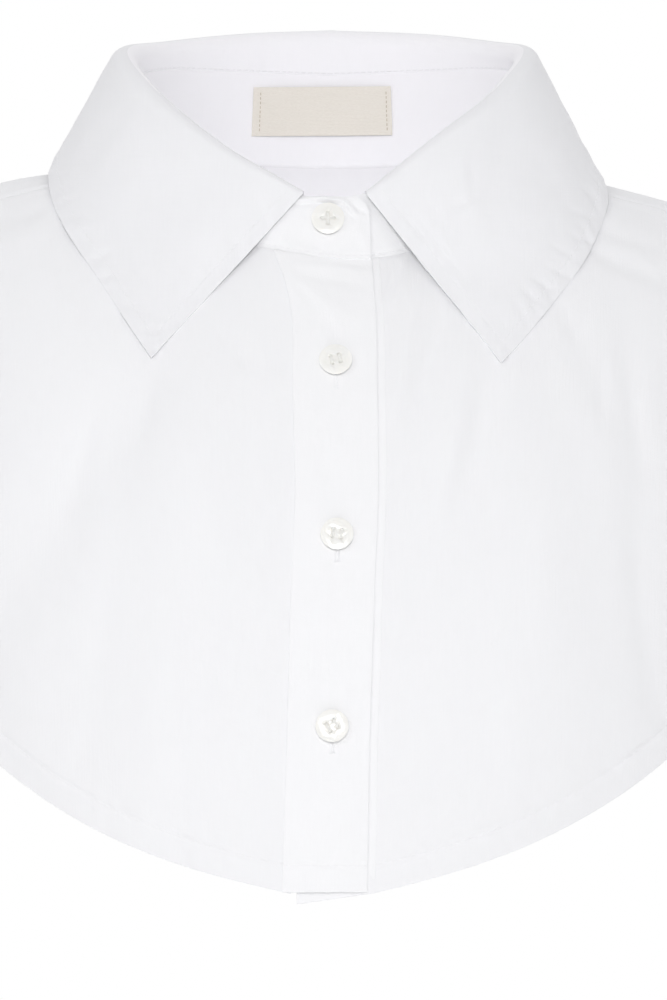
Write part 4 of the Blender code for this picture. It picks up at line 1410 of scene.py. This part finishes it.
# The leaves take the darker poplin copy: painted shade.
collar_fall = cloth("collar_fall_cloth", fall_points, LEAF_WALL, collar_poplin_painted_shade,
                    "collar_fall", rim=0.42,
                    u=fall_points[..., 0], v=fall_points[..., 2])
# The fall's underside inside the neck takes the brighter poplin copy: painted light in its
# shade.
collar_fall.data.materials.append(lit_inner_poplin)
for face in collar_fall.data.polygons:
    away = Vector((face.center.x, face.center.y, 0)).normalized()
    if face.normal.dot(away) < -0.2 and face.center.z > 0 and face.center.y > -0.03:
        face.material_index = 1
declare(fall_points)

# %% [markdown]
# ## The label
# A short strip of ecru woven tape, bare, sewn to the inside of the stand at the back by
# its two short ends. It hangs a little crooked.

# %% Label
LABEL_LEFT = -26.9
LABEL_RIGHT = 21.4
LABEL_TOP = 43.7
LABEL_BOTTOM = 26.7
label_x = np.linspace(LABEL_LEFT, LABEL_RIGHT, 60)[None]
label_z = np.linspace(LABEL_TOP, LABEL_BOTTOM, 24)[:, None]
label_z = label_z + (label_x - LABEL_LEFT) * 0.008
label_x = np.broadcast_to(label_x, label_z.shape)
label_angle = 180 - np.degrees(np.arcsin(label_x / STAND_TOP_HALF_WIDTH))
low = stand_point(label_angle, np.zeros(label_x.shape), np.zeros(label_x.shape))
high = stand_point(label_angle, np.ones(label_x.shape), np.zeros(label_x.shape))
label_height = (label_z - low[..., 2]) / (high[..., 2] - low[..., 2])
ends = np.minimum(label_x - LABEL_LEFT, LABEL_RIGHT - label_x)
bow = smooth_step(ends / 9) * 0.45 + soft_noise(label_x / 11 + 2, label_z / 9 + 2, 81) * 0.08
inset = -(STAND_WALL + 0.1) - bow
label_points = stand_point(label_angle, label_height, inset)[:, ::-1]
label_faces = unit(-outward(label_angle)[:, ::-1])
label_points = label_points + label_faces * 0.45
label = cloth("label_tape", label_points[:, ::-1], 0.45, tape, "label")
declare(label_points)

# %% [markdown]
# ## The buttons
# A shirt button is turned on a lathe: a flat back, a rounded edge, a raised rim and a
# dished middle with four holes. One is shaped from a disc by insetting and moving its
# faces, its holes are cut, and it is copied to each place. Two turns of thread cross the
# middle.

# %% Button blank
BUTTON_RADIUS = 5.7
BUTTON_HOLE_RADIUS = 0.62
BUTTON_HOLE_PITCH = 2.9
BUTTON_SEAT = 0.35
BUTTON_HOLE_FLOOR = 1.05
BUTTON_MIDDLE = 1.49
THREAD_RISE = 0.2
BUTTON_THREAD = 0.21
BUTTON_SEGMENTS = 64


def shape_top(piece, steps):
    """Insets the top face again and again, moving it up or down after each inset."""
    deselect()
    piece.select_set(True)
    bpy.context.view_layer.objects.active = piece
    top = max(piece.data.polygons, key=lambda face: face.center.z)
    for face in piece.data.polygons:
        face.select = face.index == top.index
    bpy.ops.object.mode_set(mode="EDIT")
    bpy.ops.mesh.select_mode(type="FACE")
    for inset, move in steps:
        bpy.ops.mesh.inset(thickness=inset * MM)
        bpy.ops.transform.translate(value=(0, 0, move * MM))
    bpy.ops.object.mode_set(mode="OBJECT")


deselect()
bpy.ops.mesh.primitive_cylinder_add(
    vertices=BUTTON_SEGMENTS, radius=BUTTON_RADIUS * 0.93 * MM, depth=1.2 * MM,
    location=(0, 0, 0.6 * MM))
blank = bpy.context.object
blank.name = "button_blank"
bpy.ops.object.transform_apply(location=True)
for vertex in blank.data.vertices:
    if vertex.co.z > 0.6 * MM:
        vertex.co.x /= 0.93
        vertex.co.y /= 0.93
shape_top(blank, [(0.10, 0.30), (0.22, 0.26), (0.25, 0.08), (0.35, 0.0), (0.12, -0.18),
                  (0.16, -0.10), (0.50, -0.05), (0.80, -0.03), (0.80, 0.0)])
for x in (-BUTTON_HOLE_PITCH / 2, BUTTON_HOLE_PITCH / 2):
    for y in (-BUTTON_HOLE_PITCH / 2, BUTTON_HOLE_PITCH / 2):
        deselect()
        bpy.ops.mesh.primitive_cylinder_add(
            vertices=20, radius=BUTTON_HOLE_RADIUS * MM, depth=10 * MM,
            location=(x * MM, y * MM, (5 + BUTTON_HOLE_FLOOR) * MM))
        drill = bpy.context.object
        cut = blank.modifiers.new("hole", "BOOLEAN")
        cut.operation = "DIFFERENCE"
        cut.solver = "EXACT"
        cut.object = drill
        finish_modifiers(blank)
        bpy.data.objects.remove(drill, do_unlink=True)
soften = blank.modifiers.new("soften", "BEVEL")
soften.width = 0.07 * MM
soften.segments = 2
soften.limit_method = "ANGLE"
soften.angle_limit = math.radians(40)
finish_modifiers(blank)
blank.data.materials.append(pearl)
blank.data.shade_smooth()
print("button", len(blank.data.polygons), "faces")

# %% Button places
ButtonPlace = namedtuple("ButtonPlace", "x z turn")
BAND_BUTTON = ButtonPlace(-0.7, -3.4, 45.0)
PLACKET_BUTTONS = [
    ButtonPlace(1.9, -52.8, 12.0),
    ButtonPlace(2.4, -112.3, -8.0),
    ButtonPlace(0.7, -177.6, 30.0),
]


def button_frame(place, facing, turn):
    """Three directions on a button: its right, its top and the way it faces."""
    facing = Vector(facing).normalized()
    right = Vector((1, 0, 0))
    right = (right - facing * right.dot(facing)).normalized()
    top = facing.cross(right)
    a = math.radians(turn)
    across = right * math.cos(a) + top * math.sin(a)
    return Vector(place) + facing * BUTTON_SEAT, across, facing.cross(across), facing


def band_button_frame():
    degrees = np.degrees(np.arcsin(BAND_BUTTON.x / STAND_TOP_HALF_WIDTH))
    low = stand_point(degrees, 0.0, STAND_LAP_LIFT)
    high = stand_point(degrees, 1.0, STAND_LAP_LIFT)
    place = low + (high - low) * (BAND_BUTTON.z - low[2]) / (high[2] - low[2])
    facing = np.cross((1, 0, 0), unit(high - low))
    return button_frame(place, facing, BAND_BUTTON.turn)


def placket_button_frame(button):
    x = np.array(button.x)
    t = front_t_at(x, button.z)
    place = draped_front(x, t, placket_lift(x))
    return button_frame(place, normals(front_surface, x, t), button.turn)


def place_mesh(mesh, centre, across, up, facing):
    """Moves a flat-lying mesh onto a button's place."""
    for vertex in mesh.vertices:
        x, y, z = vertex.co / MM
        vertex.co = (centre + across * x + up * y + facing * z) * MM


BUTTON_FRAMES = [band_button_frame()] + [placket_button_frame(b) for b in PLACKET_BUTTONS]
THREADS = [[(-1, -1), (1, 1)], [(-1, 1), (1, -1)]]
PARALLEL = [[(-1, -1), (-1, 1)], [(1, -1), (1, 1)]]
half = BUTTON_HOLE_PITCH / 2
for number, button in enumerate(BUTTON_FRAMES, start=1):
    copy = bpy.data.objects.new(f"button_{number}_pearl", blank.data.copy())
    bpy.context.scene.collection.objects.link(copy)
    place_mesh(copy.data, *button)
    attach(copy, "root")
    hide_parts(f"button_{number}")
    centre, across, up, facing = button
    turns = []
    for (ax, ay), (bx, by) in THREADS if number == 1 else PARALLEL:
        for shift in (-0.22, 0.22):
            run = Vector((bx - ax, by - ay)).normalized()
            side = Vector((-run.y, run.x)) * shift
            middle = Vector(((ax + bx) / 2 * half, (ay + by) / 2 * half)) + side
            place = (centre + across * middle.x + up * middle.y
                     + facing * (BUTTON_MIDDLE + THREAD_RISE))
            along = across * run.x + up * run.y
            turns.append([*place, *facing, *along])
    reach = half * 2 * (math.sqrt(2) if number == 1 else 1) + 0.5
    turn = stitch_mesh(f"button_{number}_thread", np.array(turns), reach, BUTTON_THREAD)
    turn.data.materials[0] = button_thread
bpy.data.objects.remove(blank, do_unlink=True)

# %% [markdown]
# ## Topstitching
# Thread of the cloth's own colour runs 5 mm in from the leaves' edges, along the band,
# round the hem and across the foot of the placket.

# %% Topstitching
SINK = 0.06


def topstitch(name, paths, length=1.75, radius=0.13, pitch=2.3):
    places = np.concatenate([along_path(path, pitch) for path in paths if len(path) > 2])
    places[:, :3] -= unit(places[:, 3:6]) * SINK
    return stitch_mesh(name, places, length, radius)


both_fronts = np.minimum(right_front[0], left_front[0])
leaf_rows = slice(22, None)
leaf = fall_points[:, leaf_rows]
leaf_free = free_edge[0][:, leaf_rows]
leaf_sides = both_fronts[:, leaf_rows]
half_way = SECTIONS
right_edge = stitch_line(leaf[:half_way][:, ::-1], right_front[0][:half_way, leaf_rows][:, ::-1],
                         TOPSTITCH, leaf_free[:half_way][:, ::-1], across_rows=True)
left_edge = stitch_line(leaf[half_way:][::-1][:, ::-1],
                        left_front[0][half_way:, leaf_rows][::-1][:, ::-1],
                        TOPSTITCH, leaf_free[half_way:][::-1][:, ::-1], across_rows=True)
bottom = stitch_line(leaf[:, ::-1], leaf_free[:, ::-1], TOPSTITCH, leaf_sides[:, ::-1])
for path in (right_edge, left_edge, bottom):
    print(len(path), "points")


def fix_normals(path, points, facing):
    """Takes each place's normal from the nearest point of the grid."""
    flat = points.reshape(-1, 3)
    face = facing.reshape(-1, 3)
    for k in range(len(path)):
        path[k, 3:] = face[np.linalg.norm(flat - path[k, :3], axis=-1).argmin()]
    return path


fall_facing = grid_normals(fall_points)
leaf_paths = [fix_normals(path, fall_points, fall_facing)
              for path in (right_edge, left_edge, bottom) if len(path)]
topstitch("leaf_topstitch", leaf_paths)

# %% [markdown]
# The band's seam, the hems and the side edges are stitched in the same way. The lines
# keep their distance from the edge, so they come from the same distance fields as the
# grooves that they lie in.

# %% Seams and hems
def field_path(points, field, offset, down_columns=True):
    path = stitch_line(points, field, offset, across_rows=down_columns)
    return fix_normals(path, points, grid_normals(points))


topstitch("band_topstitch", [field_path(stand_points, low_edge, SEAM_STITCH)])
topstitch("right_hem_stitch", [field_path(right_grid, right_fields[0], HEM_DEPTH),
                               field_path(right_grid, right_fields[1], SIDE_HEM, False)])
topstitch("left_hem_stitch", [field_path(left_grid, left_fields[0], HEM_DEPTH),
                              field_path(left_grid, left_fields[1], SIDE_HEM, False)])
topstitch("back_hem_stitch", [field_path(back_grid, back_fields[0], HEM_DEPTH),
                              field_path(back_grid, back_fields[1], SIDE_HEM, False),
                              field_path(back_grid, back_fields[2], SIDE_HEM, False)])
topstitch("placket_hem_stitch", [field_path(top_placket, placket_hem[0], HEM_DEPTH)])

# %% [markdown]
# ## Inside of the neck
# On the inside, the fall's foot is stitched to the stand, and the label is sewn on by its
# ends with a thread that matches the tape.

# %% Neck and label stitches
def inner_path(height, drop):
    """A line of stitches round the inside of the stand at a height."""
    at = np.linspace(-170, 170, 240) + 180
    at = (at + 180) % 360 - 180
    high = np.full(at.shape, height)
    places = stand_point(at, high, np.full(at.shape, -STAND_WALL + 0.1))
    places[:, 2] += drop
    return np.concatenate([places, -outward(at)], -1)


topstitch("collar_seam_stitch", [inner_path(1.0, 0.6)], radius=0.09)
topstitch("neck_seam_stitch", [inner_path(0.0, 1.2)], radius=0.09)


def label_path(share):
    k = int(share * (label_points.shape[1] - 1))
    places = label_points[2:-2, k] + label_faces[2:-2, k] * 0.06
    return np.concatenate([places, label_faces[2:-2, k]], -1)


label_rows = np.concatenate([along_path(label_path(share), 1.5) for share in (0.036, 0.964)])
label_stitch = stitch_mesh("label_stitch", label_rows, 1.0, 0.12)
label_stitch.data.materials[0] = ecru_thread

# %% [markdown]
# ## Buttonholes
# The placket's buttonholes stand upright, and only their lower ends show under the
# buttons. Each is two rows of close stitches beside a slit, closed by a bar at each end.

# %% Buttonholes
HOLE_ABOVE = 5.0
HOLE_BELOW = 8.8


def buttonhole(number, button):
    rows = []
    down = np.arange(-HOLE_BELOW, HOLE_ABOVE, 0.32)
    x = np.array(button.x)
    for shift in (-0.47, 0.47):
        for z in down:
            t = front_t_at(x + shift, button.z + z)
            place = draped_front(x + shift, t, placket_lift(x) - 0.04)
            rows.append([*place, *normals(front_surface, x, t), 1.0, 0.0, 0.0])
    sides = stitch_mesh(f"buttonhole_{number}", np.array(rows), 0.9, 0.12)
    bars = []
    for z in (-HOLE_BELOW - 0.25, -HOLE_BELOW - 0.5, HOLE_ABOVE + 0.2):
        t = front_t_at(x, button.z + z)
        bars.append([*draped_front(x, t, placket_lift(x) - 0.04),
                     *normals(front_surface, x, t), 1.0, 0.0, 0.0])
    stitch_mesh(f"buttonhole_bar_{number}", np.array(bars), 2.4, 0.15)
    return sides


for number, button in enumerate(PLACKET_BUTTONS, start=2):
    buttonhole(number, button)
